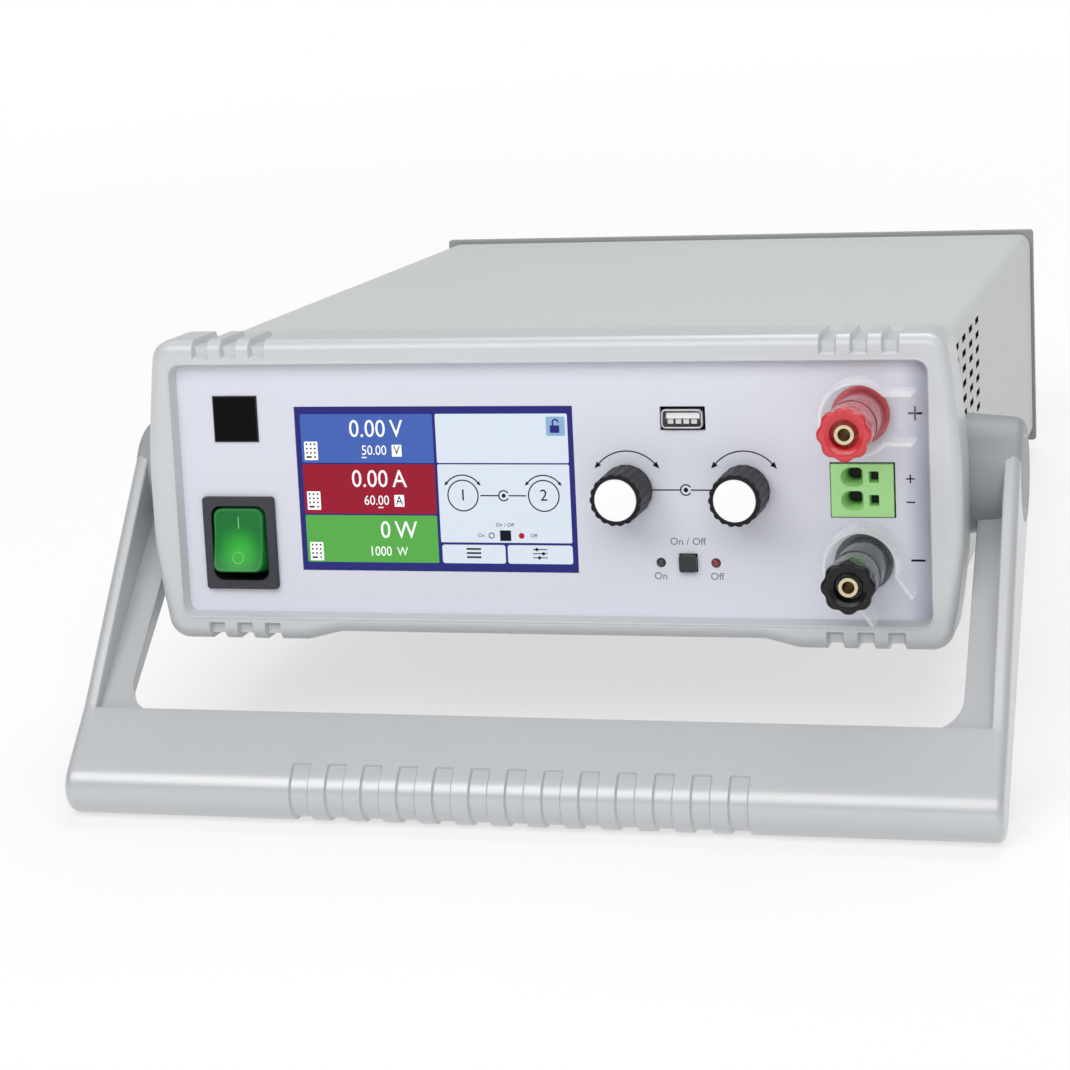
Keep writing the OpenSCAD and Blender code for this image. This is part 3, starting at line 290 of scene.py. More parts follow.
looks = {
    "bezel_plastic": moulded("bezelPlastic", tone(200, 203, 206), 0.33, Specular_IOR_Level=0.9),
    "handle_plastic": moulded("handlePlastic", tone(184, 187, 190), 0.33, Specular_IOR_Level=1.0,
                              Coat_Weight=0.8, Coat_IOR=1.9, Coat_Roughness=0.3),
    # the handle's plastic, darker and duller, for its hubs and caps: painted shade
    "hub_plastic": moulded("hubShadedPlastic", tone(156, 160, 163), 0.42, Specular_IOR_Level=0.3),
    # painted highlight on the front edge of the clear covers
    "clear_edge_highlight": film("clearEdge", tone(250, 252, 255), 0.35, 0.8),
    # the second tone is painted shade at the panel's right edge
    "panel_paint": overlaid("panelPrint", tone(216, 218, 229), tone(160, 164, 180), 0.38, (118.0, 127.0)),
    # its last numbers bound the painted shade on the walls of the vent slots
    "case_paint": painted("casePaint", tone(205, 209, 205), 0.45, (130.94, 12.5, 91.5)),
    "frame_paint": painted("framePaint", tone(150, 154, 153), 0.42),
    "badge_black": glossy("badgeBlack", tone(5, 5, 8), 0.3, 0.0, Specular_IOR_Level=0.08),
    "screen": glossy("screenGlass", tone(40, 42, 110), 0.15),
    "module_metal": metal("moduleMetal", tone(190, 190, 192), 0.35),
    "board_green": moulded("boardGreen", tone(30, 95, 55), 0.35),
    "steel": metal("zincSteel", tone(205, 205, 208), 0.36, (1, 0.05, 1)),
    "switch_dark": moulded("switchFrame", tone(60, 60, 67), 0.5, 0.3, 0.02, 0.08, Specular_IOR_Level=0.3),
    "rocker_green": glowing("rockerGreen", tone(16, 104, 44), tone(62, 172, 50), (-106.3, 0.5, 30.5), 10.5),
    "rocker_mark": glossy("rockerMark", tone(118, 196, 128), 0.3, 0.2),
    # painted highlight line round the rocker's face
    "rocker_edge": glossy("rockerEdgeHighlight", tone(52, 150, 70), 0.3, 0.2),
    "badge_edge": glossy("badgeEdge", tone(40, 41, 46), 0.3, 0.0, Specular_IOR_Level=0.3),
    "white_plastic": glossy("whitePlastic", tone(246, 246, 246), 0.14),
    "black_plastic": moulded("blackPlastic", tone(32, 32, 35), 0.42, wear=0.08, Specular_IOR_Level=0.25),
    "lamp_dark": glossy("lampDark", tone(38, 46, 46), 0.15),
    "lamp_red": glossy("lampRed", tone(132, 20, 30), 0.15),
    "knob_grey": moulded("knobGrey", tone(26, 29, 30), 0.4, wear=0.08, Specular_IOR_Level=0.15),
    "button_grey": glossy("buttonGrey", tone(36, 38, 42), 0.2, 0.2, Specular_IOR_Level=0.3),
    "red_plastic": glossy("redPlastic", tone(200, 38, 48), 0.2, 0.4),
    "red_clear": clear("redClear", tone(240, 120, 128)),
    "dark_plastic": glossy("darkPlastic", tone(9, 10, 14), 0.2, 0.05, Specular_IOR_Level=0.3),
    "dark_clear": clear("darkClear", tone(120, 130, 134)),
    "clear_plastic": film("clearPlastic", tone(250, 252, 255)),
    "brass": metal("brass", tone(212, 196, 164), 0.34),
    "sense_green": moulded("senseGreen", tone(170, 228, 148), 0.38),
    "rubber": moulded("rubber", tone(32, 32, 32), 0.7),
    "core_steel": moulded("coreSteel", tone(80, 76, 70), 0.5),
    "copper": metal("copper", tone(190, 110, 60), 0.35),
    "aluminium": metal("aluminium", tone(196, 198, 202), 0.35, (1, 0.03, 1)),
    "can_blue": glossy("canBlue", tone(40, 56, 92), 0.3, 0.2),
    "ink_dark": moulded("inkDark", tone(14, 14, 18), 0.5, depth=0.004, Specular_IOR_Level=0.1),
    "ink_grey": moulded("inkGrey", tone(104, 106, 114), 0.5, depth=0.004),
    "screen_border": lit("screenBorder", tone(48, 50, 140), 0.55),
    "screen_blue": lit("screenBlue", tone(72, 104, 186), 0.75),
    "screen_red": lit("screenRed", tone(160, 24, 50), 0.75),
    "screen_green": lit("screenGreen", tone(92, 178, 78), 0.75),
    "screen_pale": lit("screenPale", tone(226, 236, 248), 0.75),
    "screen_figures": lit("screenFigures", tone(250, 252, 255), 0.9),
    "screen_ink": lit("screenInk", tone(24, 26, 40), 0.3),
    "screen_mark": lit("screenMark", tone(196, 30, 50), 0.6),
    "screen_sign": lit("screenSign", tone(150, 186, 226), 0.7),
}
for name, piece in nodes.items():
    if not piece.material_slots:
        piece.data.materials.append(None)
    for slot in piece.material_slots:
        slot.link = "OBJECT"
        slot.material = looks[slotOf[name]].material
print("stage: materials made")


# Mesh making
def grid(points, wrapU=False, wrapV=False):  # quads between neighbours of a surface sampled at points[u, v]
    nu, nv = points.shape[:2]
    i, j = np.meshgrid(np.arange(nu if wrapU else nu - 1), np.arange(nv if wrapV else nv - 1), indexing="ij")
    k, m = (i + 1) % nu, (j + 1) % nv
    quads = np.stack([i * nv + j, k * nv + j, k * nv + m, i * nv + m], -1).reshape(-1, 4)
    return points.reshape(-1, 3), quads.tolist()


def solid(loops):  # a closed solid through loops of equal count, with flat ends
    points, faces = grid(np.asarray(loops), wrapV=True)
    n, last = len(loops[0]), len(points) - 1
    return points, faces + [list(range(n)), list(range(last, last - n, -1))]


def atY(outline, y):  # points given in X and Z, set at a Y
    return np.insert(np.asarray(outline, float), 1, y, 1)


def leftOf(path, closed=True):  # unit normals on the left of a path
    ahead = np.roll(path, -1, 0) - np.roll(path, 1, 0) if closed else np.gradient(path, axis=0)
    return np.stack([-ahead[:, 1], ahead[:, 0]], 1) / np.linalg.norm(ahead, axis=1)[:, None]


def quarter(r, steps):  # a rounded edge of radius r: how far each step lies from the side and from the face
    a = np.linspace(0, math.pi / 2, steps)
    return list(zip(r * (1 - np.cos(a)), r * (1 - np.sin(a))))


def turned(rows, x, z, count=64, deep=0.0, waves=0):
    # radius, Y and share of flute, or none, turned round an axis along Y. The flutes are waves taken off the
    # radius: the depth times the power of 1.5 of a cosine that runs from 0 to 1.
    r, y, share = np.array([(*row, 0)[:3] for row in rows], float).T
    a = np.linspace(0, 2 * math.pi, count, endpoint=False)[:, None]
    r = r - deep * share * (0.5 - 0.5 * np.cos(waves * a)) ** 1.5
    return grid(np.stack([x + r * np.cos(a), y + 0 * a, z + r * np.sin(a)], -1), wrapU=True, wrapV=True)


def smoothStep(low, high, v):  # 0 up to low, 1 from high, between them 3ss - 2sss of the share s of the way
    s = np.clip((v - low) / (high - low), 0, 1)
    return s * s * (3 - 2 * s)


def hooked(name, data):  # a new object in the scene
    piece = bpy.data.objects.new(name, data)
    bpy.context.scene.collection.objects.link(piece)
    return piece


def welded(mesh, gap, sharp, finish):  # merges near points, runs one more step and marks the sharp edges
    work = bmesh.new()
    work.from_mesh(mesh)
    bmesh.ops.remove_doubles(work, verts=work.verts, dist=gap)
    finish(work)
    work.to_mesh(mesh)
    work.free()
    mesh.shade_smooth()
    mesh.set_sharp_from_angle(angle=math.radians(sharp))


def seated(piece, node, slot=None, even=True):
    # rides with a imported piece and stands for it, or only rides with it where a slot is given
    if even:
        piece.modifiers.new("evenNormals", "WEIGHTED_NORMAL").keep_sharp = True
    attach(piece, bodyOf[node])
    if not slot:
        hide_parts(node)


class Shell:  # gathers the closed parts of one piece, each with the number of its finish
    def __init__(self):
        self.points, self.faces, self.marks, self.count = [], [], [], 0

    def add(self, part, mark=0):
        points, faces = part
        self.points.append(np.asarray(points, float).reshape(-1, 3))
        self.faces += [[v + self.count for v in face] for face in faces]
        self.marks += [mark] * len(faces)
        self.count += len(self.points[-1])
        return self

    def place(self, name, node, finishes, slot=None, sharp=38, even=True):
        mesh = bpy.data.meshes.new(name)
        mesh.from_pydata(toRow(np.concatenate(self.points)).tolist(), [], self.faces)
        mesh.polygons.foreach_set("material_index", self.marks)
        welded(mesh, 1e-7, sharp, lambda work: bmesh.ops.recalc_face_normals(work, faces=work.faces))
        for finish in finishes.split():
            mesh.materials.append(looks[finish].material)
        seated(hooked(name, mesh), node, slot, even)


def softened(node, width, finish=None, angle=32):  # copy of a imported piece, merged, with its edges rounded
    mesh = nodes[node].data.copy()
    welded(mesh, 2e-6, angle, lambda work: bmesh.ops.dissolve_limit(
        work, angle_limit=math.radians(0.4), verts=work.verts, edges=work.edges))
    piece = hooked(node + "_soft", mesh)
    mesh.materials.clear()
    mesh.materials.append(looks[finish or slotOf[node]].material)
    bevel = piece.modifiers.new("edges", "BEVEL")
    bevel.width, bevel.segments, bevel.use_clamp_overlap = width / 1000, 2, True
    bevel.limit_method, bevel.angle_limit = "ANGLE", math.radians(angle)
    bevel.miter_outer = "MITER_ARC"
    seated(piece, node)


# Camera: the photograph's view, from its place in the level frame in millimetres
view = {"place": (232.2, -865.0, 225.4), "yaw": 14.07, "pitch": 9.69, "roll": -2.5, "lens": 93.6,
        "shift": (-0.045, -0.1)}


def makeCamera():
    yaw, pitch, roll = (math.radians(view[k]) for k in ("yaw", "pitch", "roll"))
    ahead = Vector((-math.sin(yaw) * math.cos(pitch), math.cos(yaw) * math.cos(pitch), -math.sin(pitch)))
    side = Vector((math.cos(yaw), math.sin(yaw), 0))
    over = side.cross(ahead)
    right = math.cos(roll) * side + math.sin(roll) * over
    up = math.cos(roll) * over - math.sin(roll) * side
    turn = [Vector(toRow(axis) - toRow((0, 0, 0))) * 1000 for axis in (right, up, -ahead)]
    data = bpy.data.cameras.new("photoCamera")
    data.lens, data.sensor_width, data.clip_start = view["lens"], 36.0, 0.05
    data.shift_x, data.shift_y = view["shift"]
    camera = hooked("photoCamera", data)
    camera.matrix_world = (Matrix.Translation(Vector(toRow(view["place"])))
                           @ Matrix(turn).transposed().to_4x4())
    bpy.context.scene.camera = camera


makeCamera()

# Light: a pale world, soft lamps (place, width, height, power), and a floor that fades to white
light = {"world": 0.26, "aim": (0, 0, 0.06), "floorHalf": 12, "floorClear": 0.45, "floorWhite": 1.3,
         "floorTone": 0.93, "floorPale": 0.65,
         "lamps": {"key": ((-1.0, -1.4, 1.6), 1.0, 1.0, 4.5), "strip": ((0.0, -1.6, 1.8), 2.8, 1.5, 32),
                   "low": ((0.1, -2.2, 0.25), 2.4, 0.5, 4), "fill": ((1.5, -0.9, 0.8), 1.2, 1.2, 1.7),
                   "back": ((0.2, 0.9, 1.8), 1.4, 1.4, 20)}}


def makeLight():
    bpy.context.scene.view_settings.view_transform = "Standard"
    world = bpy.data.worlds.new("paleRoom")
    bpy.context.scene.world = world
    room = Tree(world, "World")
    seen = [room.add("ShaderNodeLightPath", {}, socket=f"Is {ray} Ray") for ray in ("Camera", "Transmission")]
    bright = room.add("ShaderNodeMix", {}, room.add("ShaderNodeMath", {"operation": "MAXIMUM"}, *seen), None,
                      light["world"], 1.0)
    room.show(room.add("ShaderNodeBackground", {}, (1, 1, 1, 1), bright))
    for name, (place, wide, tall, power) in light["lamps"].items():
        data = bpy.data.lights.new(name, "AREA")
        data.shape, data.size, data.size_y, data.energy = "RECTANGLE", wide, tall, power
        aim = (Vector(place) - Vector(light["aim"])).to_track_quat("Z", "Y")
        hooked(name, data).matrix_world = Matrix.Translation(place) @ aim.to_matrix().to_4x4()
    look = Finish("paleFloor")
    rays = [look.add("ShaderNodeLightPath", {}, socket=f"Is {ray} Ray") for ray in ("Camera", "Glossy",
                                                                                  "Transmission")]
    far = look.add("ShaderNodeVectorMath", {"operation": "LENGTH"}, look.where, socket="Value")
    pale = light["floorPale"] + look.step(far, light["floorClear"], light["floorWhite"]) * (
        1 - light["floorPale"])
    share = pale * look.add("ShaderNodeMath", {"operation": "MINIMUM"}, rays[0] + rays[1] + rays[2], 1.0)
    matt = look.add("ShaderNodeBsdfDiffuse", {}, Color=(light["floorTone"],) * 3 + (1,))
    white = look.add("ShaderNodeEmission", {}, Strength=1.0)
    look.show(look.add("ShaderNodeMixShader", {}, share, matt, white))
    mesh = bpy.data.meshes.new("floor")
    half = light["floorHalf"]
    mesh.from_pydata([(-half, -half, 0), (half, -half, 0), (half, half, 0), (-half, half, 0)], [],
                     [(0, 1, 2, 3)])
    mesh.materials.append(look.material)
    hooked("floor", mesh)


makeLight()
print("stage: camera and light set")

# Bezel: loops of stations round the outline, from the opening over the front edge to the gap round the case.
# opening and gap hold half the width, the lower and the upper edge, and the corner radius.
bezel = {"crest": 102.9, "flatX": 126.8, "cornerR": 7.5, "lean": 5.2, "swell": 3.43, "bellyLow": 35,
         "bellyHigh": 58, "relief": 2.9, "reliefX": 72.5, "reliefRun": 11.6, "edgeR": 4.2, "depth": 24,
         "wall": 4, "shared": 120, "opening": (126.5, 9.4, 93.5, 3), "gap": (131.3, 7.2, 96.8, 5.3),
         "slope": 1.1, "rim": 0.45, "dish": 0.2, "dishAt": 2.16, "dishEdge": ((0.36, 0.3), (0.14, 0.85)),
         "dishRows": (0.2, 0.34, 0.42, 0.7), "grooves": (96, 106, 116), "grooveHalf": 2.5, "grooveDeep": 2.2,
         "notch": 5.9}


def overTop():  # places across the top and bottom edge, closer together at the grooves and the relief
    half, steps = bezel["grooveHalf"], (-0.35, -0.15, 0.15, 0.35)
    x = [c + side * half + d for c in bezel["grooves"] for side in (-1, 1) for d in steps]
    x += list(np.arange(bezel["reliefX"] - 3, bezel["reliefX"] + bezel["reliefRun"] + 4, 1.5))
    x += list(np.arange(6, 66, 6)) + [bezel["shared"], 122.5, 125, bezel["flatX"]]
    return np.array([-v for v in sorted(x, reverse=True)] + [0] + sorted(x))


def bezelLoop(halfX, low, high, r, swell=0.0, relief=0.0):  # a clockwise frame, its sides swelling outwards
    flat, shared = halfX - r, bezel["shared"]
    x = overTop()
    over = np.maximum(abs(x) - shared, 0) * (flat - shared) / (bezel["flatX"] - shared)
    x = np.sign(x) * (np.minimum(abs(x), shared) + over)
    lean = math.radians(bezel["lean"]) if swell else 0.0
    a = np.linspace(math.pi / 2, lean, 10)[1:]
    corner = np.stack([flat + r * np.cos(a), high - r + r * np.sin(a)], 1)
    foot = np.stack([corner[:, 0], low + high - corner[:, 1]], 1)[::-1]
    z = np.linspace(corner[-1, 1], foot[0, 1], 30)[1:-1]
    off = np.maximum((z - bezel["bellyHigh"]) / (corner[-1, 1] - bezel["bellyHigh"]),
                     (bezel["bellyLow"] - z) / (bezel["bellyLow"] - foot[0, 1])).clip(0, 1)
    side = np.stack([corner[-1, 0] + swell * (1 - off ** 1.35), z], 1)
    right = np.concatenate([corner, side, foot])
    rise = relief * (1 - np.clip((abs(x) - bezel["reliefX"]) / bezel["reliefRun"], 0, 1))
    top, bottom = np.stack([x, 0 * x + high], 1), np.stack([x, low + rise], 1)[::-1]
    return np.concatenate([top, right, bottom, (right * (-1, 1))[::-1]])


def makeBezel():  # carries the outline through its rows, then cuts the grip grooves by moving points in
    b = bezel
    crest, edgeR, deep, notch, dish = b["crest"], b["edgeR"], b["grooveDeep"], b["notch"], b["dish"]
    outer = bezelLoop(b["flatX"] + b["cornerR"], 0, crest, b["cornerR"], b["swell"], b["relief"])
    out = leftOf(outer)

    def opening(off):  # the opening, grown by a distance
        halfX, low, high, r = b["opening"]
        return bezelLoop(halfX + off, low - off, high + off, r + off * 0.86)
    rows = [(opening(0), b["wall"])]
    rows += [(opening(b["slope"] + off), back) for off, back in quarter(b["rim"], 6)]
    rows += [(opening(b["dishAt"] - off), dish * share) for off, share in b["dishEdge"]]
    rim, face = opening(b["dishAt"]), outer - out * edgeR
    rows += [(rim + (face - rim) * t, dish * (1 - t) ** 2) for t in b["dishRows"]]
    rows += [(outer - out * off, back) for off, back in quarter(edgeR, 8)[::-1]]
    rows += [(outer, 8), (outer, 16), (outer, b["depth"] - 0.6), (outer - out * 0.4, b["depth"])]
    gap = bezelLoop(*b["gap"])
    rows += [(gap, b["depth"]), (gap, b["wall"])]
    points = np.stack([atY(p, y) for p, y in rows])
    x, y, z = points[..., 0], points[..., 1].copy(), points[..., 2].copy()
    cut = sum(1 - smoothStep(-0.35, 0.35, abs(abs(x) - c) - b["grooveHalf"]) for c in b["grooves"])
    front = np.maximum(smoothStep(crest - notch - 0.15, crest - notch + 0.15, z),
                       1 - smoothStep(notch - 0.15, notch + 0.15, z))
    points[..., 1] = y + cut * front * np.maximum(0, deep - y)
    points[..., 2] = z - cut * np.maximum(0, z - crest + deep) + cut * np.maximum(0, deep - z)
    Shell().add(grid(points, True, True)).place("moulded_bezel", "front_bezel", "bezel_plastic", sharp=34)


makeBezel()
print("stage: bezel made")


# Flat work: thin solids in front of a plane, drawn in X and Z
def plate(outline, front, back):  # a closed prism of an outline
    return solid([atY(outline, front), atY(outline, back)])


def tile(x0, z0, x1, z1, r=0.4, steps=4):  # outline of a rectangle with rounded corners
    a = np.linspace(0, math.pi / 2, steps)
    corners = [(x1 - r, z1 - r, 0), (x0 + r, z1 - r, 1), (x0 + r, z0 + r, 2), (x1 - r, z0 + r, 3)]
    return np.concatenate([np.stack([x + r * np.cos(a + k * math.pi / 2),
                                     z + r * np.sin(a + k * math.pi / 2)], 1) for x, z, k in corners])


def arc(x, z, r, start, end, steps=24):  # points of an arc, angles in degrees from the right and upwards
    a = np.radians(np.linspace(start, end, steps))
    return np.stack([x + r * np.cos(a), z + r * np.sin(a)], 1)


def disc(x, z, r, steps=32):  # points of a full circle
    return arc(x, z, r, 0, 360, steps + 1)[:-1]


def ribbon(path, width, front, back, closed=False):  # a band of even width along a path
    p = np.asarray(path, float)
    side = leftOf(p, closed) * width / 2
    loops = np.stack([atY(p + side, front), atY(p - side, front), atY(p - side, back),
                      atY(p + side, back)], 1)
    return grid(loops, True, True) if closed else solid(loops)


def arrow(path, width, head, front, back):  # a ribbon with a pointed head at its end
    aim = (path[-1] - path[-2]) / np.linalg.norm(path[-1] - path[-2])
    wide = np.array([-aim[1], aim[0]]) * head * 0.42
    tip = [path[-1] + aim * head, path[-1] + wide, path[-1] - wide]
    return [ribbon(path, width, front, back), plate(tip, front, back)]


def letters(text, height, x, z, front, thin=0.03, squeeze=1.0, align="CENTER"):
    # figures from the built-in font, as a mesh; its Z axis points at the viewer
    curve = bpy.data.curves.new("figures", "FONT")
    curve.body, curve.size, curve.extrude = text, height * 1.37, thin / 2
    curve.align_x, curve.align_y, curve.resolution_u = align, "CENTER", 3
    holder = bpy.data.objects.new("figures", curve)
    mesh = holder.to_mesh()
    co, faces = pointsOf(mesh), [list(face.vertices) for face in mesh.polygons]
    holder.to_mesh_clear()
    bpy.data.objects.remove(holder)
    bpy.data.curves.remove(curve)
    return np.stack([x + co[:, 0] * squeeze, front + thin / 2 - co[:, 2], z + co[:, 1]], 1), faces


# Screen, in millimetres to the right of and down from its upper left corner. The fields have two corners, the
# number of a finish and a corner radius; each row has its top, its figures with unit, its small figures and
# the place of the marked digit, or none. big, small and unit have a height and a place, counted down from the
# top of the row.
screen = {"left": -85.0, "top": 79.6, "wide": 95.7, "high": 55.6, "glass": 4.3, "thin": 0.05, "line": 0.42,
          "looks": "screen_border screen_blue screen_red screen_green screen_pale screen_figures screen_ink "
                   "screen_mark screen_sign",
          "fields": ((1.7, 2.4, 47.9, 18.9, 1, 0.5), (1.7, 19.4, 47.9, 36.3, 2, 0.5),
                     (1.7, 36.8, 47.9, 52.9, 3, 0.5), (48.9, 2.4, 94.0, 18.9, 4, 0.5),
                     (48.9, 19.4, 94.0, 45.8, 4, 0.5), (49.2, 46.6, 71.0, 52.9, 4, 0.8),
                     (71.8, 46.6, 94.0, 52.9, 4, 0.8)),
          "rows": ((2.4, "0.00", "V", "50.00", 23.6), (19.4, "0.00", "A", "60.00", 28.5),
                   (36.8, "0", "W", "1000", 0)),
          "big": (6.1, 31.6, 5.2), "bigUnit": 33.0, "small": (3.4, 31.6, 12.4), "unit": (3.1, 35.1, 12.4),
          "unitHalf": (1.7, 2.0), "digitHalf": 0.9, "pad": (2.7, 9.3, 4.7, 6.3), "key": 0.6,
          "keyStep": (1.4, 1.45), "wideKey": 1.9, "dials": ((57.3, "1"), (85.0, "2")), "dialDown": 29.9,
          "dialR": 5.2, "sweepR": 6.9, "sweeps": ((92, 40), (88, 140)), "figure": 4.0, "head": 1.5,
          "ringAt": 71.3, "ringR": 1.7, "dotR": 0.7, "leads": ((-8.0, -1.7), (1.7, 7.7)), "word": 1.3,
          "lampOff": (66.5, 0.9), "lampOn": (76.8, 1.0), "button": (71.3, 1.9), "list": (60.1, 2.5, 0.3),
          "slider": (82.9, 2.5, 0.15), "sliderR": 0.55,
          "words": (("On / Off", 71.2, 39.8), ("On", 63.0, 43.4), ("Off", 81.0, 43.4)), "lampDown": 43.4,
          "signs": ((48.0, 81.8), (49.4, 84.0), (50.8, 82.6)), "lock": (90.0, 6.6), "lockHalf": 3.2,
          "bowR": 0.95}


def makeScreen():
    s = screen
    thin, line, middle = s["thin"], s["line"], s["dialDown"]
    base, ground, front, over = (s["glass"] - thin * k for k in (1, 2, 3, 4))
    border, white, ink, red, sign = 0, 5, 6, 7, 8
    panel = Shell()

    def spot(x, down):
        return s["left"] + x, s["top"] - down

    def box(x0, d0, x1, d1, mark=ink, r=0.1, front=front, back=ground):
        panel.add(plate(tile(*spot(x0, d1), *spot(x1, d0), r), front, back), mark)

    def say(text, height, x, down, mark=ink, squeeze=1.0, align="CENTER", front=front):
        panel.add(letters(text, height, *spot(x, down), front, thin, squeeze, align), mark)

    def draw(path, width=line, closed=False):
        panel.add(ribbon(path, width, front, ground, closed), ink)

    def dot(x, down, r, steps, mark=ink, front=front):
        panel.add(plate(disc(*spot(x, down), r, steps), front, ground), mark)
    box(0.05, 0.05, s["wide"] - 0.05, s["high"] - 0.05, border, 0.3, base, s["glass"] + 0.001)
    for x0, d0, x1, d1, mark, r in s["fields"]:
        box(x0, d0, x1, d1, mark, r, ground, base)
    key, (stepX, stepDown), (padX, padDown, padWide, padHigh) = s["key"], s["keyStep"], s["pad"]
    for top, big, unit, small, digit in s["rows"]:
        height, x, down = s["big"]
        say(big, height, x, top + down, white, 0.9, "RIGHT")
        say(unit, height, s["bigUnit"], top + down, white, 0.9, "LEFT")
        height, x, down = s["small"]
        say(small, height, x, top + down, white, 0.86, "RIGHT")
        (height, x, down), (wide, high) = s["unit"], s["unitHalf"]
        if digit:  # the chosen unit stands on a white tile, and a short line marks a digit
            box(x - wide, top + down - high, x + wide, top + down + high, white, 0.2)
            say(unit, height, x, top + down, ink, 0.86, front=over)
            low = top + down + high + 0.1
            box(digit - s["digitHalf"], low, digit + s["digitHalf"], low + 0.4, white)
        else:
            say(unit, height, x + 0.2, top + down, white, 0.86)
        box(padX, top + padDown, padX + padWide, top + padDown + padHigh, white, 0.2)
        for i, j in np.ndindex(3, 4):  # the keypad sign: a tile with small dark keys and one wide key
            x, down = padX + key + i * stepX, top + padDown + key + j * stepDown
            if (i, j) != (1, 3):
                box(x, down, x + (s["wideKey"] if (i, j) == (0, 3) else key), down + key, ink, 0.1, over,
                    front)
    for x, figure in s["dials"]:
        draw(disc(*spot(x, middle), s["dialR"], 40), closed=True)
        say(figure, s["figure"], x, middle)
        for start, end in s["sweeps"]:
            for part in arrow(arc(*spot(x, middle), s["sweepR"], start, end, 12), line, s["head"], front,
                              ground):
                panel.add(part, ink)
    for x0, x1 in s["leads"]:
        draw([spot(s["ringAt"] + x0, middle), spot(s["ringAt"] + x1, middle)])
    dot(s["ringAt"], middle, s["dotR"], 16)
    draw(arc(*spot(s["ringAt"], middle), s["ringR"], 30, 330, 20))
    for text, x, down in s["words"]:
        say(text, s["word"], x, down)
    low, (x, half), (off, offR), (on, onR) = s["lampDown"], s["button"], s["lampOff"], s["lampOn"]
    draw(disc(*spot(off, low), offR, 20), 0.3, True)
    box(x - half, low - half + 0.1, x + half, low + half - 0.1, ink, 0.2)
    dot(on, low, onR, 20, red)
    for down, slide in s["signs"]:  # a list sign and a slider sign on the two buttons
        for x, half, thick in (s["list"], s["slider"]):
            box(x - half, down - thick, x + half, down + thick)
        dot(slide, down, s["sliderR"], 14, front=over)
    (x, down), half = s["lock"], s["lockHalf"]
    box(x - half, down - half, x + half, down + half, sign, 0.5)
    box(x - 1.9, down - 0.3, x + 1.3, down + 2.2, border, 0.3, over, front)
    bow = np.concatenate([[spot(x - 0.9, down - 0.3)], arc(*spot(x, down - 1.3), s["bowR"], 180, 0, 10)])
    panel.add(ribbon(bow, 0.5, over, front), border)
    panel.place("lit_screen", "display_glass", s["looks"], even=False)


makeScreen()

# Print on the panel: arrows over the knobs, a line between them, words of the output button and signs of the
# outputs. words and signs have their text or half length and half width, and their place.
panelPrint = {"front": 3.965, "back": 4.0, "knobs": (28.5, 67.3), "knobZ": 52.0, "line": 0.42, "sweepR": 12.5,
              "sweep": (90, 42), "head": 2.3, "ringR": 1.75, "dotR": 0.75, "lead": (1.7, 11.4), "word": 2.5,
              "words": (("On / Off", 47.9, 34.7), ("On", 38.5, 23.1), ("Off", 57.3, 23.1)),
              "signs": ((2.3, 0.35, 123.0, 77.0, True), (2.3, 0.35, 123.0, 29.2, False),
                        (1.4, 0.22, 121.0, 55.8, True), (1.4, 0.22, 121.0, 48.2, False))}


def makePrint():
    p = panelPrint
    front, back, line = p["front"], p["back"], p["line"]
    dark, grey = 0, 1
    ink = Shell()
    for x in p["knobs"]:
        sweep = arc(0, p["knobZ"] + 0.3, p["sweepR"], *p["sweep"], 20)
        for flip in (1, -1):
            for part in arrow(sweep * (flip, 1) + (x, 0), line, p["head"], front, back):
                ink.add(part, dark)
    middle, z = sum(p["knobs"]) / 2, p["knobZ"] - 0.1
    for side in (-1, 1):
        ink.add(ribbon([(middle + side * x, z) for x in p["lead"]], line, front, back), dark)
    ink.add(plate(disc(middle, z, p["dotR"], 20), front, back), dark)
    ink.add(ribbon(arc(middle, z, p["ringR"], 30, 330, 20), line, front, back), dark)
    for text, x, z in p["words"]:
        ink.add(letters(text, p["word"], x, z, front), grey)
    for half, thick, x, z, plus in p["signs"]:
        ink.add(plate(tile(x - half, z - thick, x + half, z + thick, 0.05), front, back), dark)
        if plus:
            ink.add(plate(tile(x - thick, z - half, x + thick, z + half, 0.05), front - 0.004, back), dark)
    ink.place("panel_marks", "front_panel", "ink_dark ink_grey", "panel_paint", even=False)


makePrint()
print("stage: screen and print made")

# Knobs: slightly flared, with soft flutes that run out before the back, and a white cap let into the front
knob = {"places": {"left": 28.5, "right": 67.3}, "z": 52.0, "front": -14.2, "back": 2.6, "frontR": 8.6,
        "backR": 8.7, "flutes": 18, "deep": 0.5, "boreR": 3.1, "skirtR": 4.2, "skirtL": 6, "capR": 6.9,
        "capDeep": 1.4, "proud": 0.2}


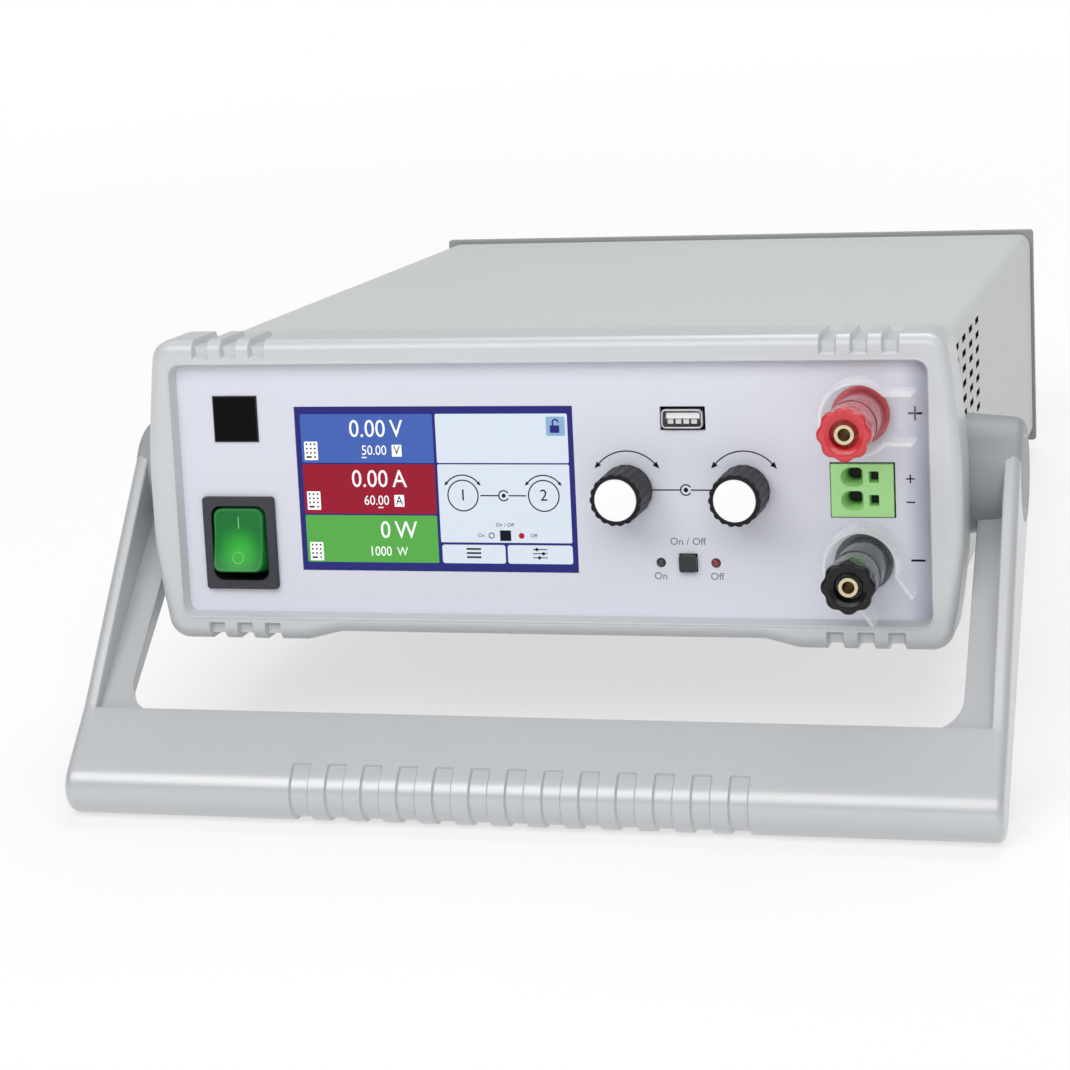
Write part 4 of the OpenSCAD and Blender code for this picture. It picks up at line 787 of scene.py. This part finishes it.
def makeKnobs():
    k = knob
    front, back, frontR, backR, capR = (k[key] for key in ("front", "back", "frontR", "backR", "capR"))
    seat, wall, face, end = front + k["capDeep"], capR + 0.06, front - k["proud"], back - k["skirtL"]
    rows = [(k["boreR"], seat), (wall, seat), (wall, front + 0.1), (capR + 0.2, front),
            (frontR - 0.35, front, 0.6), (frontR - 0.08, front + 0.12, 0.9)]
    rows += [(frontR + (backR - frontR) * t, front + (back - front) * t + 0.3, 1)
             for t in np.linspace(0.02, 0.93, 9)]
    rows += [(backR, back - 0.5, 0.6), (backR - 0.15, back - 0.08, 0.2), (backR - 0.35, back),
             (k["skirtR"], back), (k["skirtR"], end), (k["boreR"], end)]
    cap = [(0.001, seat - 0.01), (capR, seat - 0.01), (capR, face + 0.3), (capR - 0.08, face + 0.08),
           (capR - 0.3, face), (capR * 0.5, face + 0.02), (0.001, face + 0.05)]
    for side, x in k["places"].items():
        Shell().add(turned(rows, x, k["z"], 144, k["deep"], k["flutes"])).place(
            side + "_fluted_knob", side + "_knob", "knob_grey", sharp=40)
        Shell().add(turned(cap, x, k["z"], 96)).place(
            side + "_white_cap", side + "_cap", "white_plastic", sharp=40)


makeKnobs()

# Output terminals: a lobed opaque ring in front of a translucent barrel, round the brass socket
terminal = {"x": 106.0, "places": {"plus": 77.0, "minus": 29.2}, "front": -36.0, "back": -20.8, "ringR": 8.6,
            "ringL": 5.0, "barrelR": 7.9, "holeR": 4.4, "holeEnd": -25.8, "boreR": 3.12, "lobes": 8,
            "deep": 0.8, "looks": {"plus": "red_plastic red_clear", "minus": "dark_plastic dark_clear"}}


def makeCollars():
    t = terminal
    front, back, ringR, barrelR, holeR, boreR = (
        t[key] for key in ("front", "back", "ringR", "barrelR", "holeR", "boreR"))
    end = front + t["ringL"]
    rows = [(holeR, end), (holeR, front + 1.1), (holeR + 0.3, front + 0.7), (holeR + 1.5, front + 0.12),
            (holeR + 1.8, front, 0.2), (ringR - 1.1, front, 0.7), (ringR - 0.45, front + 0.14, 0.9),
            (ringR - 0.12, front + 0.5, 1), (ringR, front + 1.1, 1), (ringR, end - 1.2, 1),
            (ringR - 0.15, end - 0.5, 0.9), (ringR - 0.5, end, 0.6)]
    barrel = [(boreR, back), (boreR, t["holeEnd"]), (holeR, t["holeEnd"]), (holeR, end - 0.2),
              (barrelR - 0.3, end - 0.2), (barrelR, end + 0.2), (barrelR, back - 3.4),
              (barrelR - 0.35, back - 3.2), (barrelR - 0.35, back - 2.8), (barrelR, back - 2.6),
              (barrelR, back - 0.3), (barrelR - 0.3, back)]
    for side, z in t["places"].items():
        shell = Shell().add(turned(rows, t["x"], z, 160, t["deep"], t["lobes"]), 0)
        shell.add(turned(barrel, t["x"], z, 72), 1)
        shell.place(side + "_screw_collar", side + "_collar", t["looks"][side], sharp=40)


makeCollars()

# Clear covers: a painted highlight, a whiter lip along the front of each wall, open at the end of the tail
lip = {"r": 11.8, "tail": 17.3, "half": 7.9, "wide": 1.0, "front": -8.42, "back": -8.27,
       "turns": {"plus": 0, "minus": -55}}


def makeLips():
    s = lip
    start = math.degrees(math.asin(s["half"] / s["r"]))
    path = np.concatenate([[(s["tail"], s["half"])], arc(0, 0, s["r"], start, 360 - start, 60),
                           [(s["tail"], -s["half"])]])
    for side, turn in s["turns"].items():
        a = math.radians(turn)
        ahead = path @ np.array([[math.cos(a), math.sin(a)], [-math.sin(a), math.cos(a)]])
        ahead += (terminal["x"], terminal["places"][side])
        # painted highlight along each wall's front edge
        Shell().add(ribbon(ahead, s["wide"], s["front"], s["back"])).place(
            side + "_cover_highlight_lip", side + "_cover", "clear_edge_highlight", slotOf[side + "_cover"])


makeLips()

# Power switch: a frame with soft edges round a deep black pocket
housing = {"holeX": 9.7, "holeZ": 12.7, "holeR": 3.2, "r": 1.2, "rim": 2.0, "pocket": 11.0, "inset": 1.8}


def makeHousing():
    s, (low, high) = housing, levelBox("switch_body")
    (x, _, z), (wide, _, tall), y = (low + high) / 2, (high - low) / 2, low[1]

    def around(halfX, halfZ, r, at):
        return atY(tile(x - halfX, z - halfZ, x + halfX, z + halfZ, r, 7), at)

    def hole(grow, at):
        return around(s["holeX"] + grow, s["holeZ"] + grow, s["holeR"] + grow, at)

    def frameLoop(inset, at):
        return around(wide - inset, tall - inset, max(s["r"] - inset, 0.3), at)
    mouth = hole(0, y + 0.5)
    walls = [hole(0, y + s["pocket"]), hole(0, y + s["pocket"] / 2), mouth]
    front = [mouth, hole(0.1, y + 0.2), hole(0.4, y), frameLoop(0.6, y), frameLoop(0.2, y + 0.12),
             frameLoop(0, y + 0.5), frameLoop(0, y + s["rim"]), frameLoop(s["inset"], y + s["rim"]),
             frameLoop(s["inset"], high[1])]
    shell = Shell().add(grid(np.stack(front), wrapV=True), 0).add(grid(np.stack(walls), wrapV=True), 1)
    for end, mark in ((walls[0], 1), (front[-1], 0)):
        shell.add((end, [list(range(len(end)))]), mark)
    shell.place("switch_housing", "switch_body", "switch_dark black_plastic")


makeHousing()

# Rocker: rounded outline with a soft edge and a dished face, turned to on about its pivot; thin marks on it
# and a painted highlight line round its face
rocker = {"pivot": (-106.7, 9.0, 33.2), "turn": -10.0, "wide": 8.85, "tall": 10.8, "r": 2.9, "front": -9.25,
          "dip": 1.3, "edge": 0.6, "back": 1.5, "taper": (0.97, 0.8),
          "bar": ((0.1, 3.9), (0.1, 5.9), (0.1, 7.9)), "barWide": 0.34, "ring": (0, -6.0, 1.9),
          "ringWide": 0.26, "highlightIn": 0.7, "highlightWide": 0.2}


def makeRocker():
    k = rocker
    angle = math.radians(k["turn"])

    def dished(v):  # Y of the face at a height on it
        return k["front"] + k["dip"] * (1 - (v / k["tall"]) ** 2)

    def toCase(part):  # from the rocker's own frame to the level frame
        p, faces = np.asarray(part[0], float), part[1]
        y = p[:, 1] * math.cos(angle) - p[:, 2] * math.sin(angle)
        z = p[:, 1] * math.sin(angle) + p[:, 2] * math.cos(angle)
        return np.stack([p[:, 0], y, z], 1) + k["pivot"], faces

    def around(inset):  # the outline drawn in, with even steps along its straight sides
        p = tile(-k["wide"] + inset, -k["tall"] + inset, k["wide"] - inset, k["tall"] - inset,
                 k["r"] - inset, 9)
        closed = np.concatenate([p, p[:1]])
        way = np.concatenate([[0], np.cumsum(np.linalg.norm(np.diff(closed, axis=0), axis=1))])
        even = np.linspace(0, way[-1], 121)[:-1]
        return np.stack([np.interp(even, way, closed[:, 0]), np.interp(even, way, closed[:, 1])], 1)

    def loop(p, behind):
        return atY(p, dished(p[:, 1]) + behind)
    base = around(0)
    loops = [atY(base * k["taper"], k["back"]), atY(base, -0.5)]
    loops += [loop(around(off), behind) for off, behind in quarter(k["edge"], 6)]
    loops += [loop(around(k["edge"]) * shrink, 0) for shrink in np.linspace(0.95, 0.02, 14)]
    shell = Shell().add(toCase(solid(loops)), 0)
    # the last band is a painted highlight: a thin lighter line round the face along its rounded edge
    for finish, (p, faces) in ((1, ribbon(k["bar"], k["barWide"], 0, 0.1)),
                               (1, ribbon(disc(*k["ring"]), k["ringWide"], 0, 0.1, True)),
                               (2, ribbon(around(k["highlightIn"]), k["highlightWide"], 0, 0.1, True))):
        lifted = dished(p[:, 2]) + np.where(p[:, 1] > 0.05, 0.06, -0.03)
        shell.add(toCase((atY(p[:, ::2], lifted), faces)), finish)
    shell.place("lit_rocker", "rocker", "rocker_green rocker_mark rocker_edge", sharp=40)


makeRocker()

# Sense connector: wire entries, rounded on the left, that narrow inwards, and square slots beside them.
# The rows of entry and slot hold a depth and the share that the outline is drawn in to.
sense = {"entry": -3.25, "rounded": 3.2, "flat": 3.7, "corner": 1.8, "slot": 3.77, "slotW": 3.3, "slotH": 3.8,
         "rise": 0.6, "pitch": 7.7, "edge": 0.25,
         "entryRows": ((0, 1), (0.3, 0.96), (5.0, 0.66), (9.0, 0.62)),
         "slotRows": ((0, 1), (0.2, 0.95), (5.0, 0.85))}


def pocket(outline, rows, y):  # walls and end of a pocket
    middle = (outline.max(0) + outline.min(0)) / 2
    loops = [atY(middle + (outline - middle) * share, y + deep) for deep, share in rows]
    return grid(np.stack(loops), wrapV=True), (loops[-1], [list(range(len(outline)))])


def pierced(outline, holes, y):  # a flat face with holes in it
    loops = [atY(p, y) for p in [outline] + holes]
    faces = tessellate_polygon([[Vector(v) for v in loop] for loop in loops])
    return np.concatenate(loops), [list(face) for face in faces]


def makeSense():
    s, (low, high) = sense, levelBox("sense_connector")
    (x, _, z), y, edge = (low + high) / 2, low[1], s["edge"]
    face = tile(low[0] + edge, low[2] + edge, high[0] - edge, high[2] - edge, 0.2)
    rim = tile(low[0], low[2], high[0], high[2], 0.4)
    shell, holes, corner, bend = Shell(), [], s["corner"], s["rounded"] - s["corner"]
    for side in (-1, 1):
        across, up = x + s["entry"], z + s["rise"] + side * s["pitch"] / 2
        entry = np.concatenate([arc(across + s["flat"] - corner, up - bend, corner, 270, 360, 7),
                                arc(across + s["flat"] - corner, up + bend, corner, 0, 90, 7),
                                arc(across - 0.5, up, s["rounded"], 90, 270, 21)])
        slot = tile(x + s["slot"] - s["slotW"] / 2, up - s["slotH"] / 2, x + s["slot"] + s["slotW"] / 2,
                    up + s["slotH"] / 2, 0.25)
        for hole, rows in ((entry, s["entryRows"]), (slot, s["slotRows"])):
            walls, end = pocket(hole, rows, y)
            # the end of each entry and slot is black: painted shade of the deep hole behind it
            shell.add(walls, 0).add(end, 1)
            holes.append(hole)
    shell.add(pierced(face, holes, y), 0)
    body = np.stack([atY(face, y), atY(rim, y + edge), atY(rim, high[1])])
    shell.add(grid(body, wrapV=True), 0).add((body[-1], [list(range(len(rim)))]), 0)
    shell.place("spring_connector", "sense_connector", "sense_green black_plastic", even=False)


makeSense()

# Small parts on the panel: lamps with rings, spring contacts under the socket's tongue, edge of the badge
small = {"lampZ": 27.7, "lamps": (("lamp_on", 38.75, "lamp_dark"), ("lamp_off", 57.05, "lamp_red")),
         "lampR": 1.32, "domeDeep": 0.9, "domeY": 3.9, "domeEnd": 6.0, "ringWide": 0.3, "ringY": (3.98, 4.6),
         "contacts": (43.75, 46.35, 48.95, 51.55), "contactHalf": 0.95, "contactZ": (73.85, 75.25),
         "contactY": (3.6, 8.0), "badge": (-106.0, 75.7), "badgeHalf": 7.65, "edgeWide": 0.34,
         "edgeY": (3.56, 4.0)}


def makeSmall():
    s = small
    trim, r, z = Shell(), s["lampR"], s["lampZ"]
    dome = [(0.001, s["domeEnd"]), (r, s["domeEnd"]), (r, s["domeY"])]
    dome += [(r * math.cos(a), s["domeY"] - s["domeDeep"] * math.sin(a)) for a in np.linspace(0.15, 1.56, 8)]
    for node, x, finish in s["lamps"]:
        Shell().add(turned(dome, x, z, 40)).place(node + "_dome", node, finish)
        trim.add(ribbon(disc(x, z, r + 0.1), s["ringWide"], *s["ringY"], True), 0)
    (low, high), half = s["contactZ"], s["contactHalf"]
    for x in s["contacts"]:
        trim.add(plate(tile(x - half, low, x + half, high, 0.1), *s["contactY"]), 1)
    (x, z), half = s["badge"], s["badgeHalf"]
    trim.add(ribbon(tile(x - half, z - half, x + half, z + half, 0.5), s["edgeWide"], *s["edgeY"], True), 2)
    trim.place("panel_trim", "front_panel", "black_plastic steel badge_edge", "black_plastic")


makeSmall()

# Socket shell and output button, each a row of rounded rectangles along Y
socket = {"x": 47.65, "z": 75.55, "halfW": 6.85, "halfH": 3.15, "round": 1.35, "wall": 0.55, "front": 2.6,
          "middle": 8.0, "back": 14.0, "lips": ((0, 0.2), (0.06, 0.06), (0.2, 0))}
button = {"x": 47.9, "z": 27.7, "halfW": 2.9, "halfH": 2.9, "round": 0.95, "front": 1.8, "edge": 0.45,
          "foot": ((0, 9.0), (-0.9, 7.4), (-0.9, 6.4), (0, 6.3))}


def stacked(s, rows):  # a solid through rounded rectangles, each drawn in by an amount and set at a Y
    return Shell().add(solid([atY(tile(s["x"] - s["halfW"] + off, s["z"] - s["halfH"] + off,
                                       s["x"] + s["halfW"] - off, s["z"] + s["halfH"] - off,
                                       s["round"] - off * 0.7), y) for off, y in rows]))


def makeStacks():
    s, wall, front = socket, socket["wall"], socket["front"]
    rows = [(0, s["back"]), (0, s["middle"])] + [(off, front + back) for off, back in s["lips"]]
    rows += [(wall - off, front + back) for off, back in s["lips"][::-1]]
    rows += [(wall, s["middle"]), (wall, s["back"] - 2)]
    stacked(s, rows).place("socket_shell", "usb_shell", "steel", sharp=40)
    rows = list(button["foot"]) + [(off, button["front"] + back) for off, back in quarter(button["edge"], 5)]
    stacked(button, rows).place("rounded_button", "output_button", "button_grey", sharp=50)


makeStacks()
print("stage: knobs, terminals, rocker and small parts made")

# Handle, drawn along its arms: t runs from the pivot to the grip, and h is the height over the arm, which is
# negative in front
grip = {"out": 154.0, "in": 139.3, "rim": 148.6, "rimHalf": 18.2, "rimEdge": 0.8, "length": 123.5,
        "noseR": 9.5, "barIn": 99.6, "barEnd": 150.0, "face": 9.0, "back": 2.5, "lipR": 0.9, "hubIn": 134.6,
        "hubR": 20.0, "hubOutR": 18.5, "boreR": 6.1, "capR": 12.5, "capDeep": 2.5, "cornerR": 12.0,
        "endR": 3.0, "grooves": 13, "pitch": 12.0, "grooveHalf": 3.0, "deep": 1.0, "grooveStart": 118.6,
        "stations": (90, 105, 120, 136), "web": ((14, -1.5), (100.6, -6.0), (100.6, -2.5), (14, 7)),
        "webUnder": -2.6}


def barProfile():  # points and outward normals of the crossbar's section, with the share of groove at each
    g = grip
    length, noseR, barIn, face, r, start = (g[key] for key in ("length", "noseR", "barIn", "face", "lipR",
                                                               "grooveStart"))
    turn = math.acos(noseR / math.hypot(length - barIn, g["back"])) - math.atan(g["back"] / (length - barIn))
    a = np.linspace(-math.pi / 2, math.pi - turn, 26)
    nose = np.stack([length + noseR * np.cos(a), noseR * np.sin(a)], 1)
    t = np.array([barIn + r * (1 - math.sin(v)) for v in (0.0, 0.5, 1.0)] + [101, 104, 108, 112, 115, 117.4,
                 start - 0.2, start + 0.2, 120, 121.8])
    sag = [face - r * (1 - math.cos(v)) for v in (math.pi / 2 - 0.2, 0.9, 0.4)]
    h = -np.array(sag + [face + (noseR - face) * (v - barIn) / (length - barIn) for v in t[3:]])
    under = np.stack([np.linspace(nose[-1, 0], barIn + 1, 5)[1:], np.linspace(nose[-1, 1], -2.2, 5)[1:]], 1)
    edge = np.array([(barIn + 0.3, -g["back"] - 0.35), (barIn, -g["back"] - 1.2)])
    p = np.concatenate([np.stack([t, h], 1), nose, under, edge])
    mark = smoothStep(start - 0.2, start + 0.2, p[:, 0]) * (p[:, 1] < noseR - 1.4)
    return p, -leftOf(p), mark


def alongX(loop, x0, x1, round0=0.0, round1=0.0, steps=5):
    # a solid along X with rounded ends: near an end the outline is drawn in along a quarter circle
    p = np.asarray(loop, float)
    out = -leftOf(p) * np.sign(np.sum(p[:, 0] * np.roll(p[:, 1], -1) - np.roll(p[:, 0], -1) * p[:, 1]))
    rows, sign = [], 1 if x1 > x0 else -1
    for r, x, way in ((round0, x0, 1), (round1, x1, -1)):
        end = [(p - out * inset, x + sign * way * off)
               for off, inset in (quarter(r, steps) if r else [(0, 0)])]
        rows += end[::way]
    return solid([fromArm(x, q[:, 0], q[:, 1]) for q, x in rows])


def rimOutline(r0, t1, r1, via, steps=24):
    # round the hub and the nose, straight behind, and in front by way of the crossbar's face
    lean = math.asin((r0 - r1) / t1)
    leave = 2 * math.pi + math.atan2(via[1], via[0]) - math.acos(r0 / math.hypot(*via))
    a, b = np.linspace(math.pi / 2 - lean, leave, steps), np.linspace(-math.pi / 2, math.pi / 2 - lean, steps)
    first = np.stack([r0 * np.cos(a), r0 * np.sin(a)], 1)
    second = np.stack([t1 + r1 * np.cos(b), r1 * np.sin(b)], 1)

    def between(p, q):  # points along a straight side keep the rounded edge even
        return p + (q - p) * np.linspace(0, 1, 9)[1:-1, None]
    turn = np.array(via)
    return np.concatenate([first, between(first[-1], turn), [turn], between(turn, second[0]), second,
                           between(second[-1], first[0])])


def makeHandle():
    # the bar is its section carried along X, drawn in at the grooves; rims, webs and fillets are solids along
    # X, and each hub is a profile turned round the pivot
    g = grip
    p, away, mark = barProfile()
    half, steps = g["grooveHalf"], (-0.3, -0.12, 0.12, 0.3)
    middle = [(i - (g["grooves"] - 1) / 2) * g["pitch"] for i in range(g["grooves"])]
    x = [c + side * half + d for c in middle for side in (-1, 1) for d in steps]
    x = np.array(sorted(x + [side * v for side in (-1, 1) for v in (*g["stations"], g["barEnd"])]))
    cut = sum(1 - smoothStep(-0.3, 0.3, abs(x - c) - half) for c in middle)
    q = p[None] - away[None] * (cut[:, None] * mark[None] * g["deep"])[..., None]
    shell = Shell().add(solid(fromArm(x[:, None], q[..., 0], q[..., 1])))
    rim = rimOutline(g["rimHalf"], g["length"], g["noseR"], (g["barIn"] - 1.0, -g["face"] - 0.05))
    cornerR, lap = g["cornerR"], g["cornerR"] + 1.2
    fillet = np.concatenate([arc(0, 0, cornerR, 0, 90, 14), [(0, lap), (lap, lap), (lap, 0)]])
    run = g["barIn"] - cornerR + fillet[:, 1]
    (t0, h0), (t1, h1) = g["web"][:2]
    under = 0.05 + h0 + (h1 - h0) * (run - t0) / (t1 - t0)  # follows the slope of the arm's web
    out, hubIn, hubR, hubOutR, boreR = (g[key] for key in ("out", "hubIn", "hubR", "hubOutR", "boreR"))
    wall = g["capR"] + 0.05
    hub = [(boreR, hubIn), (hubR - 0.5, hubIn), (hubR, hubIn + 0.5)]
    hub += [(hubR + (hubOutR - hubR) * t, hubIn + 0.5 + t * (out - hubIn - 2)) for t in (0.3, 0.6, 0.9)]
    hub += [(hubOutR - off, out - back) for off, back in quarter(g["endR"], 8)]
    hub += [(wall + 0.25, out), (wall, out - 0.3), (wall, out - g["capDeep"]), (boreR, out - g["capDeep"])]
    radius, along = np.array(hub).T
    a = np.linspace(0, 2 * math.pi, 96, endpoint=False)[:, None]
    for side in (-1, 1):
        shell.add(alongX(rim, side * g["rim"], side * (out - 0.1), g["rimEdge"], g["endR"], 7))
        shell.add(alongX(g["web"], side * g["in"], side * (g["rim"] + 1.5), 0.5, 0, 3))
        # each hub takes the darker hub plastic: painted shade
        shell.add(grid(fromArm(side * along, radius * np.cos(a), radius * np.sin(a)), True, True), 1)
        across = side * (g["in"] - cornerR + fillet[:, 0])
        shell.add(solid([fromArm(across, run, under), fromArm(across, run, g["webUnder"])]))
    shell.place("moulded_handle", "handle", "handle_plastic hub_plastic", sharp=36)


makeHandle()
print("stage: handle made")

soft = {"rear_frame": 0.4, "pivot_discs": 0.4, "mains_inlet": 0.4, "fan_frame": 0.3}
for name, width in soft.items():
    softened(name, width)
# the hub caps take the darker hub plastic: painted shade
softened("hub_caps", 0.5, "hub_plastic")
print("stage: packed pieces softened")
